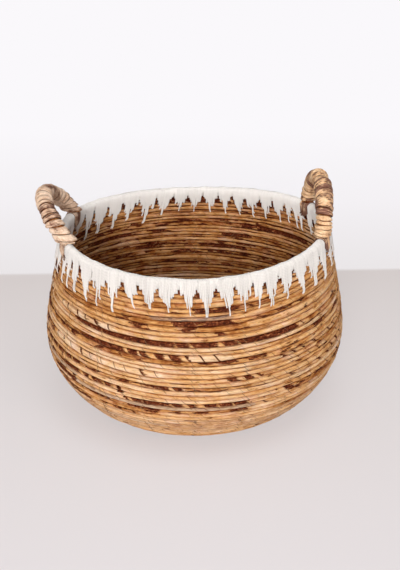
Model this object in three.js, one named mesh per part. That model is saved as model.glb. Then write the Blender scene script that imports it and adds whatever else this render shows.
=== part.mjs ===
// Pot-bellied abaca basket with a flat base, an open mouth and two ear handles.
// Millimetres, +Z up, +X towards the right handle. The origin is the middle of the base, on the floor.
//
// One rope is coiled from the middle of the base up to the mouth and sewn row to row. Each turn modelled here
// stands for two rows of the real rope. A hoop of rope lies on the top row, cotton yarn is whipped over it in
// pointed teeth, and bark strip lashes the feet of the two handles to it.

import * as THREE from 'three';

// Outline of the basket, seen from the side
const FLOOR_RADIUS = 122;          // flat underside, to where the heel starts to rise
const BELLY_RADIUS = 200;          // widest, outside the rope
const BELLY_HEIGHT = 98;
const MOUTH_RADIUS = 177.2;        // outside the yarn at the rim
const BASKET_HEIGHT = 239.3;       // floor to the top of the yarn, on average round the rim
const HEEL_SWEEP = 28;             // how far the heel runs on level before it lifts
const BELLY_FULLNESS_BELOW = 47.7; // how long the side stays upright under the belly
const BELLY_FULLNESS_ABOVE = 30;   // and over it
const NECK_LENGTH = 39;            // nearly straight part of the wall under the mouth
const NECK_LEAN = 10.2;            // degrees that this part leans inwards

// Handmade unevenness: the rim dips at front and back, and stands higher on the right
const RIM_SADDLE = 4.8;
const RIM_TILT = 1.23;             // degrees

// Rope
const ROPE_THICKNESS = 6.8;
const ROW_GAP = 0.5;
const BASE_LOOPS = 10;
const WALL_ROPES = 3;
const LOOPS_PER_ROPE = 8;
const STEPS_PER_LOOP = 20;
const START_RADIUS = 4.6;          // inner edge of the first turn, where the rope is bent tightest
const BUTT_GAP = 0.3;              // between the ends of two lengths of rope
const ROPE_TIP = 1.2;              // height left on the cut end of the last row
const ROW_FLAT = 0.68;             // share of a row's height that is flat on its plain face
const ROW_FULLNESS = 0.18;         // how far towards its ridge a row is widest, as a share of half its thickness
const KNOT_CHAMFER = 1;

// Rim
const HOOP_RADIUS = 4;
const HOOP_STEPS = 60;
const HOOP_SIDES = 8;
const HOOP_SEAT = 0.6;             // between the top row and the hoop
const YARN_THICKNESS = 2;
const RIM_CLEARANCE = 0.5;         // round the hoop, for whatever is wound over it
const SKIN_CLEARANCE = 0.4;        // between the wall and whatever lies on it

// Yarn teeth, measured down from the top of the rim
const TOOTH_VALLEY = 11;
const TOOTH_TIP_OUTSIDE = 46;
const TOOTH_TIP_INSIDE = 44;
const TEETH_FRONT = 18;
const TEETH_BACK = 17;
const TEETH_LEFT = 4;
const TEETH_RIGHT = 5;

// Handles
const CORE_RADIUS = 8.4;
const CORE_SIDES = 8;
const CORE_STEPS = 20;
const STRIP_THICKNESS = 2.4;
const STRIP_CLEARANCE = 0.6;       // between the strip and the core it winds round
const STRIP_GAP = 0.9;             // between one turn of the strip and the next
const STRIP_LOOPS = 17;
const STRIP_TIP = 0.8;             // width left on the cut ends of the strip
const ARCH_HEIGHT = 51;
const FOOT_CLEARANCE = 0.3;
const FOOT_BLEND_LENGTH = 32;      // length of leg in which the turns swing from level to square with the leg
const RIGHT_HANDLE = { middle: 1.25, halfSpan: 23.25, lean: 5 };  // degrees
const LEFT_HANDLE = { middle: 183, halfSpan: 19, lean: 36 };

// Lashings at the handle feet
const LASHING_WIDTH = 22;
const LASHING_THICKNESS = 2.4;
const LASHING_SHOULDER = 11;       // depth of the tie at its sides, from the top of the rim
const LASHING_TIP = 24;            // depth of its point
const LASHING_STATIONS = 4;

// Sewing thread
const THREAD_THICKNESS = 1.2;
const THREAD_STEPS = 12;
const THREAD_START = 35;           // distance from the middle of the base

const BARK = 0xb98a52;
const ROPE_LIGHT = 0xb5813f;
const ROPE_MIDDLE = 0x9c6a34;
const ROPE_DARK = 0x86552c;
const YARN_WHITE = 0xf1ece4;
const STRIP_PALE = 0xc2a077;
const STRIP_GOLDEN = 0xc98f4a;
const THREAD_COLOUR = 0xcaa468;

const degrees = THREE.MathUtils.degToRad;
const basket = new THREE.Group();

function finish(colour, roughness) {
  return new THREE.MeshStandardMaterial({ color: colour, roughness, metalness: 0, flatShading: true });
}

function addPiece(name, geometry, colour, roughness = 0.85) {
  const mesh = new THREE.Mesh(geometry, finish(colour, roughness));
  mesh.name = name;
  basket.add(mesh);
}

// Middle line of the rope's section, from the middle of the base, round the heel and belly, up to the rim hoop.
const halfRope = ROPE_THICKNESS / 2;
const rimBuild = HOOP_RADIUS + RIM_CLEARANCE + YARN_THICKNESS;
const hoopPathRadius = MOUTH_RADIUS - rimBuild;
const hoopHeight = BASKET_HEIGHT - rimBuild;
const profile = new THREE.CurvePath();
const floorEnd = new THREE.Vector3(FLOOR_RADIUS, 0, halfRope);
const belly = new THREE.Vector3(BELLY_RADIUS - halfRope, 0, BELLY_HEIGHT);
const mouth = new THREE.Vector3(hoopPathRadius, 0, hoopHeight);
const neck = new THREE.Vector3(Math.sin(degrees(NECK_LEAN)), 0, -Math.cos(degrees(NECK_LEAN)));
profile.add(new THREE.LineCurve3(new THREE.Vector3(0, 0, halfRope), floorEnd));
profile.add(new THREE.CubicBezierCurve3(
  floorEnd,
  floorEnd.clone().add(new THREE.Vector3(HEEL_SWEEP, 0, 0)),
  belly.clone().add(new THREE.Vector3(0, 0, -BELLY_FULLNESS_BELOW)),
  belly,
));
profile.add(new THREE.CubicBezierCurve3(
  belly,
  belly.clone().add(new THREE.Vector3(0, 0, BELLY_FULLNESS_ABOVE)),
  mouth.clone().addScaledVector(neck, NECK_LENGTH),
  mouth,
));
const profileLength = profile.getLength();

// The point of the wall at a distance along the profile and an offset out of it, in (radius, height).
function wallPoint(distance, offset) {
  const share = THREE.MathUtils.clamp(distance / profileLength, 0, 1);
  const point = profile.getPointAt(share);
  const along = profile.getTangentAt(share);
  return { radius: point.x + along.z * offset, height: point.z - along.x * offset };
}

// Turns a (radius, height) into space at an angle round the basket, with the rim's tilt and saddle added.
function roundBasket({ radius, height }, angle) {
  const x = radius * Math.cos(angle);
  const y = radius * Math.sin(angle);
  const saddle = RIM_SADDLE * (x * x - y * y) / (hoopPathRadius * hoopPathRadius);
  const rise = (Math.tan(degrees(RIM_TILT)) * x + saddle) / BASKET_HEIGHT;
  return new THREE.Vector3(x, y, height * (1 + rise));
}

// One closed solid through a row of rings, each with the same number of points. A ring's ends are closed by
// pairing its first points with its last, which also closes a ring that is folded like a clip.
function solidThroughRings(rings, closedLoop = false) {
  const sides = rings[0].length;
  const corners = rings.flat();
  const faces = [];
  const last = closedLoop ? rings.length : rings.length - 1;
  for (let ring = 0; ring < last; ring += 1) {
    const here = ring * sides;
    const next = ((ring + 1) % rings.length) * sides;
    for (let side = 0; side < sides; side += 1) {
      const beside = (side + 1) % sides;
      faces.push([here + side, next + side, next + beside]);
      faces.push([here + side, next + beside, here + beside]);
    }
  }
  if (!closedLoop) {
    const end = (rings.length - 1) * sides;
    for (let low = 0, high = sides - 1; high - low > 1; low += 1, high -= 1) {
      faces.push([low, low + 1, high]);
      faces.push([end + low, end + high, end + low + 1]);
      if (high - low > 2) {
        faces.push([low + 1, high - 1, high]);
        faces.push([end + low + 1, end + high, end + high - 1]);
      }
    }
  }
  const volume = faces.reduce((sum, [a, b, c]) => {
    const cross = new THREE.Vector3().crossVectors(corners[b], corners[c]);
    return sum + corners[a].dot(cross);
  }, 0);
  const outward = volume > 0 ? faces : faces.map(([a, b, c]) => [a, c, b]);
  const geometry = new THREE.BufferGeometry().setFromPoints(corners);
  geometry.setIndex(outward.flat());
  geometry.computeVertexNormals();
  return geometry;
}

// Least distance between the points of rings that lie a whole turn or more apart.
function leastGap(rings, ringsPerTurn) {
  let least = Infinity;
  for (let first = 0; first + ringsPerTurn < rings.length; first += 1) {
    for (let second = first + ringsPerTurn - 1; second < rings.length; second += 1) {
      for (const a of rings[first]) {
        for (const b of rings[second]) {
          least = Math.min(least, a.distanceTo(b));
        }
      }
    }
  }
  return least;
}

// The rope. Its rows share the way from the start of the coil to the underside of the hoop.
const wallLoops = WALL_ROPES * LOOPS_PER_ROPE;
const ropeTop = profileLength - HOOP_RADIUS - HOOP_SEAT;
const rowPitch = (ropeTop + ROW_GAP - START_RADIUS) / (BASE_LOOPS + wallLoops);
const rowHeight = rowPitch - ROW_GAP;

// Five corners of a row: a flat on one face, the widest place near the middle, and a ridge on the other face.
function rowCorners(low, high, ridgeSide) {
  const middle = (low + high) / 2;
  const half = (high - low) / 2;
  const flat = half * ROW_FLAT;
  const widest = ridgeSide * halfRope * ROW_FULLNESS;
  return [
    [middle, ridgeSide * halfRope],
    [high, widest],
    [middle + flat, -ridgeSide * halfRope],
    [middle - flat, -ridgeSide * halfRope],
    [low, widest],
  ];
}

function ropeRing(turn, ridgeSide, angleShift = 0) {
  const angle = 2 * Math.PI * turn + angleShift;
  const low = START_RADIUS + rowPitch * turn;
  const high = Math.min(low + rowHeight, ropeTop);
  return rowCorners(low, high, ridgeSide).map(([distance, offset]) =>
    roundBasket(wallPoint(distance, offset), angle));
}

// A stretch of the coil from one turn to another. Its far end stops short of the next length's start.
function ropeStretch(name, firstTurn, lastTurn, ridgeSide, colour) {
  const rings = [];
  const steps = Math.round((lastTurn - firstTurn) * STEPS_PER_LOOP);
  for (let step = 0; step < steps; step += 1) {
    rings.push(ropeRing(firstTurn + step / STEPS_PER_LOOP, ridgeSide));
  }
  const endRadius = wallPoint(START_RADIUS + rowPitch * lastTurn, 0).radius;
  rings.push(ropeRing(firstTurn + steps / STEPS_PER_LOOP, ridgeSide, -BUTT_GAP / endRadius));
  addPiece(name, solidThroughRings(rings), colour);
  console.log(`${name}: least gap to itself ${leastGap(rings, STEPS_PER_LOOP).toFixed(2)} mm`);
}

const ridgeInside = -1;
const ridgeOutside = 1;
ropeStretch('base_coil', 0, BASE_LOOPS, ridgeInside, ROPE_LIGHT);
const wallColours = [ROPE_LIGHT, ROPE_MIDDLE, ROPE_DARK];
for (let rope = 0; rope < WALL_ROPES; rope += 1) {
  const firstTurn = BASE_LOOPS + rope * LOOPS_PER_ROPE;
  const isTop = rope === WALL_ROPES - 1;
  const cutBack = isTop ? Math.ceil(STEPS_PER_LOOP * (ROW_GAP + ROPE_TIP) / rowPitch) / STEPS_PER_LOOP : 0;
  const lastTurn = firstTurn + LOOPS_PER_ROPE - cutBack;
  const colour = wallColours[rope % wallColours.length];
  ropeStretch(`wall_rope_${rope + 1}`, firstTurn, lastTurn, ridgeOutside, colour);
}

// The rope's folded start fills the snail-shaped space inside the first turn.
const knotOutline = new THREE.Shape();
for (let step = 0; step <= STEPS_PER_LOOP; step += 1) {
  const turn = step / STEPS_PER_LOOP;
  const radius = START_RADIUS + rowPitch * turn - BUTT_GAP;
  const angle = 2 * Math.PI * turn - (step === STEPS_PER_LOOP ? BUTT_GAP / START_RADIUS : 0);
  knotOutline[step === 0 ? 'moveTo' : 'lineTo'](radius * Math.cos(angle), radius * Math.sin(angle));
}
const knot = new THREE.ExtrudeGeometry(knotOutline, {
  depth: ROPE_THICKNESS - 2 * KNOT_CHAMFER,
  bevelThickness: KNOT_CHAMFER,
  bevelSize: KNOT_CHAMFER,
  bevelOffset: -KNOT_CHAMFER,
  bevelSegments: 1,
});
knot.translate(0, 0, KNOT_CHAMFER);
addPiece('start_knot', knot, ROPE_MIDDLE);

// The hoop of rope on the top row
const hoopRings = [];
for (let step = 0; step < HOOP_STEPS; step += 1) {
  const angle = 2 * Math.PI * step / HOOP_STEPS;
  const ring = [];
  for (let side = 0; side < HOOP_SIDES; side += 1) {
    const turn = 2 * Math.PI * side / HOOP_SIDES;
    ring.push(roundBasket({
      radius: hoopPathRadius + HOOP_RADIUS * Math.cos(turn),
      height: hoopHeight + HOOP_RADIUS * Math.sin(turn),
    }, angle));
  }
  hoopRings.push(ring);
}
addPiece('rim_hoop', solidThroughRings(hoopRings, true), ROPE_DARK);

// What lies over the rim is a sheet that runs from its outer edge over the hoop to its inner edge. On the inside
// it stands off by the height of the flats between the rope's corners.
const insideFlat = hoopPathRadius * (1 - Math.cos(Math.PI / STEPS_PER_LOOP));
const hoopFlat = hoopPathRadius * (1 - Math.cos(Math.PI / HOOP_STEPS));

function overRim(clearance, depthOutside, depthInside, angle) {
  const shoulder = HOOP_RADIUS;
  const outside = halfRope + SKIN_CLEARANCE + clearance;
  const inside = -(halfRope + SKIN_CLEARANCE + insideFlat + clearance);
  const round = HOOP_RADIUS + RIM_CLEARANCE + clearance;
  const downOutside = depthOutside - rimBuild;
  const downInside = depthInside - rimBuild;
  const path = [
    wallPoint(profileLength - downOutside, outside),
    wallPoint(profileLength - (downOutside + shoulder) / 2, outside),
  ];
  for (let side = 0; side <= HOOP_SIDES / 2; side += 1) {
    const turn = 2 * Math.PI * side / HOOP_SIDES;
    const flat = side === HOOP_SIDES / 2 ? hoopFlat : 0;
    path.push({
      radius: hoopPathRadius + round * Math.cos(turn) - flat,
      height: hoopHeight + round * Math.sin(turn),
    });
  }
  path.push(wallPoint(profileLength - shoulder, inside));
  path.push(wallPoint(profileLength - downInside, inside));
  return path.map((point) => roundBasket(point, angle));
}

function sheetOverRim(stations, thickness) {
  return solidThroughRings(stations.map(({ angle, depthOutside, depthInside }) => {
    const inner = overRim(0, depthOutside, depthInside, angle);
    const outer = overRim(thickness, depthOutside, depthInside, angle);
    return [...outer, ...inner.reverse()];
  }));
}

// Feet of the handles, as angles round the rim, from the front left one anticlockwise
const feet = {
  left_front: degrees(LEFT_HANDLE.middle + LEFT_HANDLE.halfSpan),
  right_front: degrees(360 + RIGHT_HANDLE.middle - RIGHT_HANDLE.halfSpan),
  right_back: degrees(360 + RIGHT_HANDLE.middle + RIGHT_HANDLE.halfSpan),
  left_back: degrees(360 + LEFT_HANDLE.middle - LEFT_HANDLE.halfSpan),
};
const lashingHalf = LASHING_WIDTH / 2 / hoopPathRadius;
const yarnSideGap = SKIN_CLEARANCE / hoopPathRadius;

function yarnRun(name, fromFoot, toFoot, teeth) {
  const from = fromFoot + lashingHalf + yarnSideGap;
  const to = toFoot - lashingHalf - yarnSideGap;
  const stations = [];
  for (let half = 0; half <= 2 * teeth; half += 1) {
    const isTip = half % 2 === 1;
    stations.push({
      angle: from + (to - from) * half / (2 * teeth),
      depthOutside: isTip ? TOOTH_TIP_OUTSIDE : TOOTH_VALLEY,
      depthInside: isTip ? TOOTH_TIP_INSIDE : TOOTH_VALLEY,
    });
  }
  addPiece(name, sheetOverRim(stations, YARN_THICKNESS), YARN_WHITE, 0.95);
}

yarnRun('yarn_front', feet.left_front, feet.right_front, TEETH_FRONT);
yarnRun('yarn_right', feet.right_front, feet.right_back, TEETH_RIGHT);
yarnRun('yarn_back', feet.right_back, feet.left_back, TEETH_BACK);
yarnRun('yarn_left', feet.left_back, feet.left_front + 2 * Math.PI, TEETH_LEFT);

for (const [name, foot] of Object.entries(feet)) {
  const stations = [];
  for (let step = 0; step <= LASHING_STATIONS; step += 1) {
    const across = 2 * step / LASHING_STATIONS - 1;
    const depth = THREE.MathUtils.lerp(LASHING_TIP, LASHING_SHOULDER, Math.abs(across));
    stations.push({ angle: foot + lashingHalf * across, depthOutside: depth, depthInside: depth });
  }
  addPiece(`lashing_${name}`, sheetOverRim(stations, LASHING_THICKNESS), BARK);
}

// A handle is a half-ellipse arch of rope that stands on the lashings, with bark strip wound round it.
const seatHeight = hoopHeight + HOOP_RADIUS + RIM_CLEARANCE + LASHING_THICKNESS + FOOT_CLEARANCE;

function seatAt({ x, y }) {
  return roundBasket({ radius: Math.hypot(x, y), height: seatHeight }, Math.atan2(y, x)).z;
}

class HandleArch extends THREE.Curve {
  constructor(middle, halfChord, rise) {
    super();
    Object.assign(this, { middle, halfChord, rise });
  }

  getPoint(share, target = new THREE.Vector3()) {
    const turn = Math.PI * share;
    return target.copy(this.middle)
      .addScaledVector(this.halfChord, -Math.cos(turn))
      .addScaledVector(this.rise, Math.sin(turn));
  }
}

function buildHandle(side, footFront, footBack, lean, stripColour) {
  const front = roundBasket({ radius: hoopPathRadius, height: seatHeight }, footFront);
  const back = roundBasket({ radius: hoopPathRadius, height: seatHeight }, footBack);
  const middle = front.clone().lerp(back, 0.5);
  const halfChord = back.clone().sub(front).multiplyScalar(0.5);
  const outward = new THREE.Vector3(middle.x, middle.y, 0).addScaledVector(
    halfChord, -middle.x * halfChord.x / halfChord.lengthSq() - middle.y * halfChord.y / halfChord.lengthSq());
  outward.z = 0;
  outward.normalize();
  const rise = new THREE.Vector3(0, 0, Math.cos(degrees(lean))).addScaledVector(outward, Math.sin(degrees(lean)));
  const square = new THREE.Vector3().crossVectors(halfChord, rise).normalize();
  const arch = new HandleArch(middle, halfChord, rise.multiplyScalar(ARCH_HEIGHT));
  const length = arch.getLength();

  // A point on a tube round the arch. Near a foot the section swings round to lie level on the rim.
  function place(distance, turn, radius) {
    const share = THREE.MathUtils.clamp(distance / length, 0, 1);
    const centre = arch.getPointAt(share);
    const along = arch.getTangentAt(share);
    const inPlane = new THREE.Vector3().crossVectors(square, along);
    const out = square.clone().multiplyScalar(Math.cos(turn) * radius)
      .addScaledVector(inPlane, Math.sin(turn) * radius);
    const fromFoot = Math.min(distance, length - distance);
    const swing = Math.max(0, 1 - fromFoot / FOOT_BLEND_LENGTH);
    const nearFoot = distance < length / 2 ? 0 : 1;
    const footPoint = arch.getPointAt(nearFoot).add(out);
    const level = (seatAt(footPoint) - footPoint.z) / arch.getTangentAt(nearFoot).z;
    return centre.add(out).addScaledVector(along, level * swing);
  }

  const coreRings = [];
  for (let step = 0; step <= CORE_STEPS; step += 1) {
    const ring = [];
    for (let corner = 0; corner < CORE_SIDES; corner += 1) {
      ring.push(place(length * step / CORE_STEPS, 2 * Math.PI * corner / CORE_SIDES, CORE_RADIUS));
    }
    coreRings.push(ring);
  }
  addPiece(`handle_core_${side}`, solidThroughRings(coreRings), BARK);

  // The strip's first and last turns taper so that its ends lie level with the feet.
  const turnPitch = length / STRIP_LOOPS;
  const innerRadius = CORE_RADIUS + STRIP_CLEARANCE;
  const outerRadius = innerRadius + STRIP_THICKNESS;
  const stripRings = [];
  const stripSteps = (STRIP_LOOPS + 1) * CORE_SIDES;
  for (let step = 0; step <= stripSteps; step += 1) {
    const edge = turnPitch * step / CORE_SIDES;
    const low = Math.max(0, edge - turnPitch + STRIP_GAP);
    const high = Math.min(edge, length);
    if (high - low >= STRIP_TIP) {
      const turn = 2 * Math.PI * step / CORE_SIDES;
      stripRings.push([
        place(low, turn, innerRadius),
        place(high, turn, innerRadius),
        place(high, turn, outerRadius),
        place(low, turn, outerRadius),
      ]);
    }
  }
  addPiece(`handle_wrap_${side}`, solidThroughRings(stripRings), stripColour, 0.7);
  console.log(`handle_wrap_${side}: least gap to itself ${leastGap(stripRings, CORE_SIDES).toFixed(2)} mm`);
}

buildHandle('right', feet.right_front, feet.right_back, RIGHT_HANDLE.lean, STRIP_GOLDEN);
buildHandle('left', feet.left_front, feet.left_back, LEFT_HANDLE.lean, STRIP_PALE);

// Sewing threads, on the inside, where they cross every row
const SEAMS = STEPS_PER_LOOP;
const threadOffset = -(halfRope + SKIN_CLEARANCE + THREAD_THICKNESS / 2);
const threadRise = FLOOR_RADIUS - HEEL_SWEEP;
for (let seam = 0; seam < SEAMS; seam += 1) {
  const angle = 2 * Math.PI * seam / SEAMS;
  const rings = [];
  for (let step = 0; step <= THREAD_STEPS; step += 1) {
    const distance = step === 0
      ? THREAD_START
      : threadRise + (ropeTop - threadRise) * (step - 1) / (THREAD_STEPS - 1);
    const middle = wallPoint(distance, threadOffset);
    const half = THREAD_THICKNESS / 2;
    const sideways = half / middle.radius;
    rings.push([
      roundBasket(wallPoint(distance, threadOffset + half), angle),
      roundBasket(middle, angle + sideways),
      roundBasket(wallPoint(distance, threadOffset - half), angle),
      roundBasket(middle, angle - sideways),
    ]);
  }
  addPiece(`seam_${String(seam + 1).padStart(2, '0')}`, solidThroughRings(rings), THREAD_COLOUR, 0.8);
}

export default basket;
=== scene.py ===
# %% [markdown]
# # A pot-bellied abaca basket
# The basket is one thick rope of twisted banana-plant fibre, coiled row on row and sewn to itself. White
# cotton yarn is whipped over the rim in pointed teeth, and two ear handles wrapped in bark strip stand on
# it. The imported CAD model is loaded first. Its solids give every place and size here, and each is then
# replaced by a piece with the real surface: rope with its lay, strands of yarn, strips of bark.

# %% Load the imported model
import math
from functools import partial
from types import SimpleNamespace

import bpy
import numpy as np
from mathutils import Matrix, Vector


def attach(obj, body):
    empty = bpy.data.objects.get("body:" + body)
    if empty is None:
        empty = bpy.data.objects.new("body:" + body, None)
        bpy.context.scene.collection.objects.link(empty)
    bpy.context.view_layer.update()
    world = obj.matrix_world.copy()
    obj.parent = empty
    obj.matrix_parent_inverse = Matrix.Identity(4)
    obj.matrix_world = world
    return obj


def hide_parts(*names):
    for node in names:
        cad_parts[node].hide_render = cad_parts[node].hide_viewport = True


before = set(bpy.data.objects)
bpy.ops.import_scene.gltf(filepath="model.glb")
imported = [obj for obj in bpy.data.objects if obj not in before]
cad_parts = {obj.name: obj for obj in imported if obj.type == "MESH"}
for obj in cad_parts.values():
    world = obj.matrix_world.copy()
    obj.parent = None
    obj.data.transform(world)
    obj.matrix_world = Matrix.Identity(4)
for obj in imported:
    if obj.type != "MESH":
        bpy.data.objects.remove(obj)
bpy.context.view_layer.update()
MM = 0.001

# %% [markdown]
# ## Camera
# The photograph looks down on the basket from the front, at about 26 degrees, from a little over a metre
# away. The camera stands on a line through a point inside the basket. The photograph was cropped off-centre,
# and the small lens shift makes up for that.

# %% Camera
CAMERA_ELEVATION = math.radians(25.64)
CAMERA_DISTANCE = 1.251
AIM_HEIGHT = 0.110


def make_camera():
    data = bpy.data.cameras.new("studio_camera")
    data.lens = 57.9
    data.sensor_width = 36.0
    data.shift_x = 0.00965
    data.shift_y = 0.0491
    data.clip_end = 30.0
    camera = bpy.data.objects.new("studio_camera", data)
    camera.location = (
        0.0,
        -CAMERA_DISTANCE * math.cos(CAMERA_ELEVATION),
        AIM_HEIGHT + CAMERA_DISTANCE * math.sin(CAMERA_ELEVATION),
    )
    camera.rotation_euler = (math.pi / 2 - CAMERA_ELEVATION, 0.0, 0.0)
    bpy.context.scene.collection.objects.link(camera)
    bpy.context.scene.camera = camera
    return camera


print("camera at", [round(value, 3) for value in make_camera().location])

# %% [markdown]
# ## Colours and nodes
# Paint charts and pickers give colours as sRGB hex values, and Blender's shaders work in linear light, so
# one function turns the one into the other. Every material below is built with one more small function,
# which adds a node, sets it up and links it. A node's inputs are given in their order or by name. Each is a
# number, a colour, a socket, or a whole node, which stands for its first output in use. The two colours of a
# Mix node are its inputs 6 and 7. A range with the setting SOFT eases in and out, so no mark has a hard edge.

# %% Colour and node helpers
SOFT = {"interpolation_type": "SMOOTHSTEP"}


def colour(code):
    parts = [int(code[place:place + 2], 16) / 255 for place in (1, 3, 5)]
    linear = [part / 12.92 if part <= 0.04045 else ((part + 0.055) / 1.055) ** 2.4 for part in parts]
    return (*linear, 1.0)


def add_node(tree, kind, *values, inputs=None, **settings):
    node = tree.nodes.new("ShaderNode" + kind)
    for name, value in settings.items():
        setattr(node, name, value)
    for name, value in [*enumerate(values), *(inputs or {}).items()]:
        if isinstance(value, bpy.types.Node):
            value = next(output for output in value.outputs if output.enabled)
        if isinstance(value, bpy.types.NodeSocket):
            tree.links.new(value, node.inputs[name])
        else:
            node.inputs[name].default_value = value
    return node


def set_ramp(node, stops):
    """Gives a colour ramp its stops, each a place from 0 to 1 and a colour."""
    elements = node.color_ramp.elements
    while len(elements) < len(stops):
        elements.new(0.5)
    for element, (place, code) in zip(elements, stops):
        element.position = place
        element.color = colour(code)
    return node


def new_material(name):
    """An empty material, and the function that adds nodes to it."""
    material = bpy.data.materials.new(name)
    material.use_nodes = True
    material.node_tree.nodes.clear()
    return material, partial(add_node, material.node_tree)


print("a mid grey of #808080 is", round(colour("#808080")[0], 3), "in linear light")

# %% [markdown]
# ## Studio
# The basket stands on a pale grey table in front of a white wall. A standing wall would hide the basket in
# the views from behind, so one large floor is used, and its far part is painted as the wall. There the
# camera sees a plain glow that takes no shadow. The table keeps the basket's soft shadow.

# %% Paint of the table and the wall
TABLE_FRONT = -0.4
TABLE_EDGE = 0.401
TABLE_EDGE_SLANT = -0.035
EDGE_BLUR = 0.006
WALL_FADE_END = 1.4
TABLE_GLOW = 0.6


def make_floor_material():
    material, add = new_material("painted_table_and_wall")
    place = add("SeparateXYZ", add("TexCoord").outputs["Object"]).outputs
    slanted = add("Math", place["X"], TABLE_EDGE_SLANT, place["Y"], operation="MULTIPLY_ADD")
    on_wall = add("MapRange", slanted, TABLE_EDGE - EDGE_BLUR, TABLE_EDGE + EDGE_BLUR)
    up_wall = add("MapRange", place["Y"], TABLE_EDGE, WALL_FADE_END)
    wall = set_ramp(add("ValToRGB", up_wall), [(0.0, "#eae6e7"), (0.4, "#f4f1f4"), (1.0, "#faf8fb")])
    across_table = add("MapRange", place["Y"], TABLE_FRONT, TABLE_EDGE)
    table = set_ramp(add("ValToRGB", across_table),
                     [(0.0, "#e6e0e1"), (0.5, "#e3dddd"), (1.0, "#dcd4d2")])
    matt = add("BsdfPrincipled", inputs={"Base Color": table, "Roughness": 0.9})
    table_glow = add("Emission", table)
    wall_glow = add("Emission", wall)
    rays = add("LightPath").outputs
    seen = add("Math", rays["Is Camera Ray"], rays["Is Glossy Ray"], operation="MAXIMUM")
    glow_share = add("Math", seen, TABLE_GLOW, operation="MULTIPLY")
    wall_share = add("Math", seen, on_wall, operation="MULTIPLY")
    lit_table = add("MixShader", glow_share, matt, table_glow)
    add("OutputMaterial", add("MixShader", wall_share, lit_table, wall_glow))
    return material


floor_material = make_floor_material()
print("floor material has", len(floor_material.node_tree.nodes), "nodes")

# %% Floor
FLOOR_SIZE = 16.0

bpy.ops.object.select_all(action="DESELECT")
bpy.ops.mesh.primitive_plane_add(size=FLOOR_SIZE, location=(0.0, 0.0, 0.0))
floor = bpy.context.object
floor.name = "studio_floor"
floor.data.materials.append(floor_material)
print("floor:", floor.name)

# %% [markdown]
# The light is a big soft box above the basket, a second one low and far in front, whose narrow beam reaches
# the basket and little else, and an even pale world. Together they leave soft shadows on both sides of the
# basket. Their strengths are set so that the white yarn stays just under white. The view transform is
# Standard, so a colour shows about as it was written.

# %% Lamps and world
BOX_SIZE = 1.2
WORLD_STRENGTH = 0.44


def add_lamp(name, place, aim, power, spread):
    data = bpy.data.lights.new(name, "AREA")
    data.shape = "DISK"
    data.size = BOX_SIZE
    data.energy = power
    data.spread = math.radians(spread)
    lamp = bpy.data.objects.new(name, data)
    lamp.location = place
    lamp.rotation_euler = (Vector(aim) - Vector(place)).to_track_quat("-Z", "Y").to_euler()
    bpy.context.scene.collection.objects.link(lamp)


def make_world():
    world = bpy.data.worlds.new("pale_room")
    world.use_nodes = True
    world.node_tree.nodes.clear()
    add = partial(add_node, world.node_tree)
    camera_ray = add("LightPath").outputs["Is Camera Ray"]
    room = add("Background", colour("#fbf9fa"), WORLD_STRENGTH)
    white = add("Background", colour("#faf8fb"), 1.0)
    add("OutputWorld", add("MixShader", camera_ray, room, white))
    bpy.context.scene.world = world


add_lamp("soft_box_above", (0.15, -0.55, 1.9), (0.0, 0.05, 0.1), 9.2, 180.0)
add_lamp("soft_box_front", (-0.5, -3.7, 1.48), (0.0, 0.0, 0.12), 7.7, 40.0)
make_world()
bpy.context.scene.view_settings.view_transform = "Standard"
print("lamps:", [lamp.name for lamp in bpy.data.lights])

# %% [markdown]
# ## The basket's shape
# The rope follows one outline, turned round the basket: a flat base, a heel, a round belly and a neck that
# leans in. The numbers are the CAD model's. A lathed surface would show this outline and nothing else, since
# the rows of rope have to lie on it. So it is measured once as a table of points, and any place on the wall
# is asked for by its distance along the outline and its offset out of it. Everything is worked out in
# millimetres and turned to metres when a mesh is made.

# %% Outline of the wall
FLOOR_RADIUS = 122.0
BELLY_RADIUS = 200.0
BELLY_HEIGHT = 98.0
MOUTH_RADIUS = 177.2
BASKET_HEIGHT = 239.3
HEEL_SWEEP = 28.0
FULLNESS_BELOW = 47.7
FULLNESS_ABOVE = 30.0
NECK_LENGTH = 39.0
NECK_LEAN = math.radians(10.2)
ROPE_HALF = 3.4
HOOP_RADIUS = 4.0
RIM_BUILD = 6.5

hoop_path = MOUTH_RADIUS - RIM_BUILD
hoop_height = BASKET_HEIGHT - RIM_BUILD


def bezier(points, steps=400):
    share = np.linspace(0.0, 1.0, steps)[:, None]
    rest = 1 - share
    a, b, c, d = (np.array(point) for point in points)
    return rest ** 3 * a + 3 * rest ** 2 * share * b + 3 * rest * share ** 2 * c + share ** 3 * d


floor_end = (FLOOR_RADIUS, ROPE_HALF)
heel_pull = (FLOOR_RADIUS + HEEL_SWEEP, ROPE_HALF)
belly = (BELLY_RADIUS - ROPE_HALF, BELLY_HEIGHT)
belly_pull_below = (belly[0], BELLY_HEIGHT - FULLNESS_BELOW)
belly_pull_above = (belly[0], BELLY_HEIGHT + FULLNESS_ABOVE)
mouth = (hoop_path, hoop_height)
neck_pull = (mouth[0] + NECK_LENGTH * math.sin(NECK_LEAN), mouth[1] - NECK_LENGTH * math.cos(NECK_LEAN))
outline = np.concatenate([
    np.linspace((0.0, ROPE_HALF), floor_end, 200),
    bezier([floor_end, heel_pull, belly_pull_below, belly])[1:],
    bezier([belly, belly_pull_above, neck_pull, mouth])[1:],
])
outline_steps = np.linalg.norm(np.diff(outline, axis=0), axis=1)
outline_distance = np.concatenate([[0.0], np.cumsum(outline_steps)])
outline_length = outline_distance[-1]
outline_along = np.gradient(outline, outline_distance, axis=0)
print("outline from the middle of the base to the rim:", round(float(outline_length), 1), "mm")

# %% Places on the wall
RIM_SADDLE = 4.8
RIM_TILT = math.radians(1.23)


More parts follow.
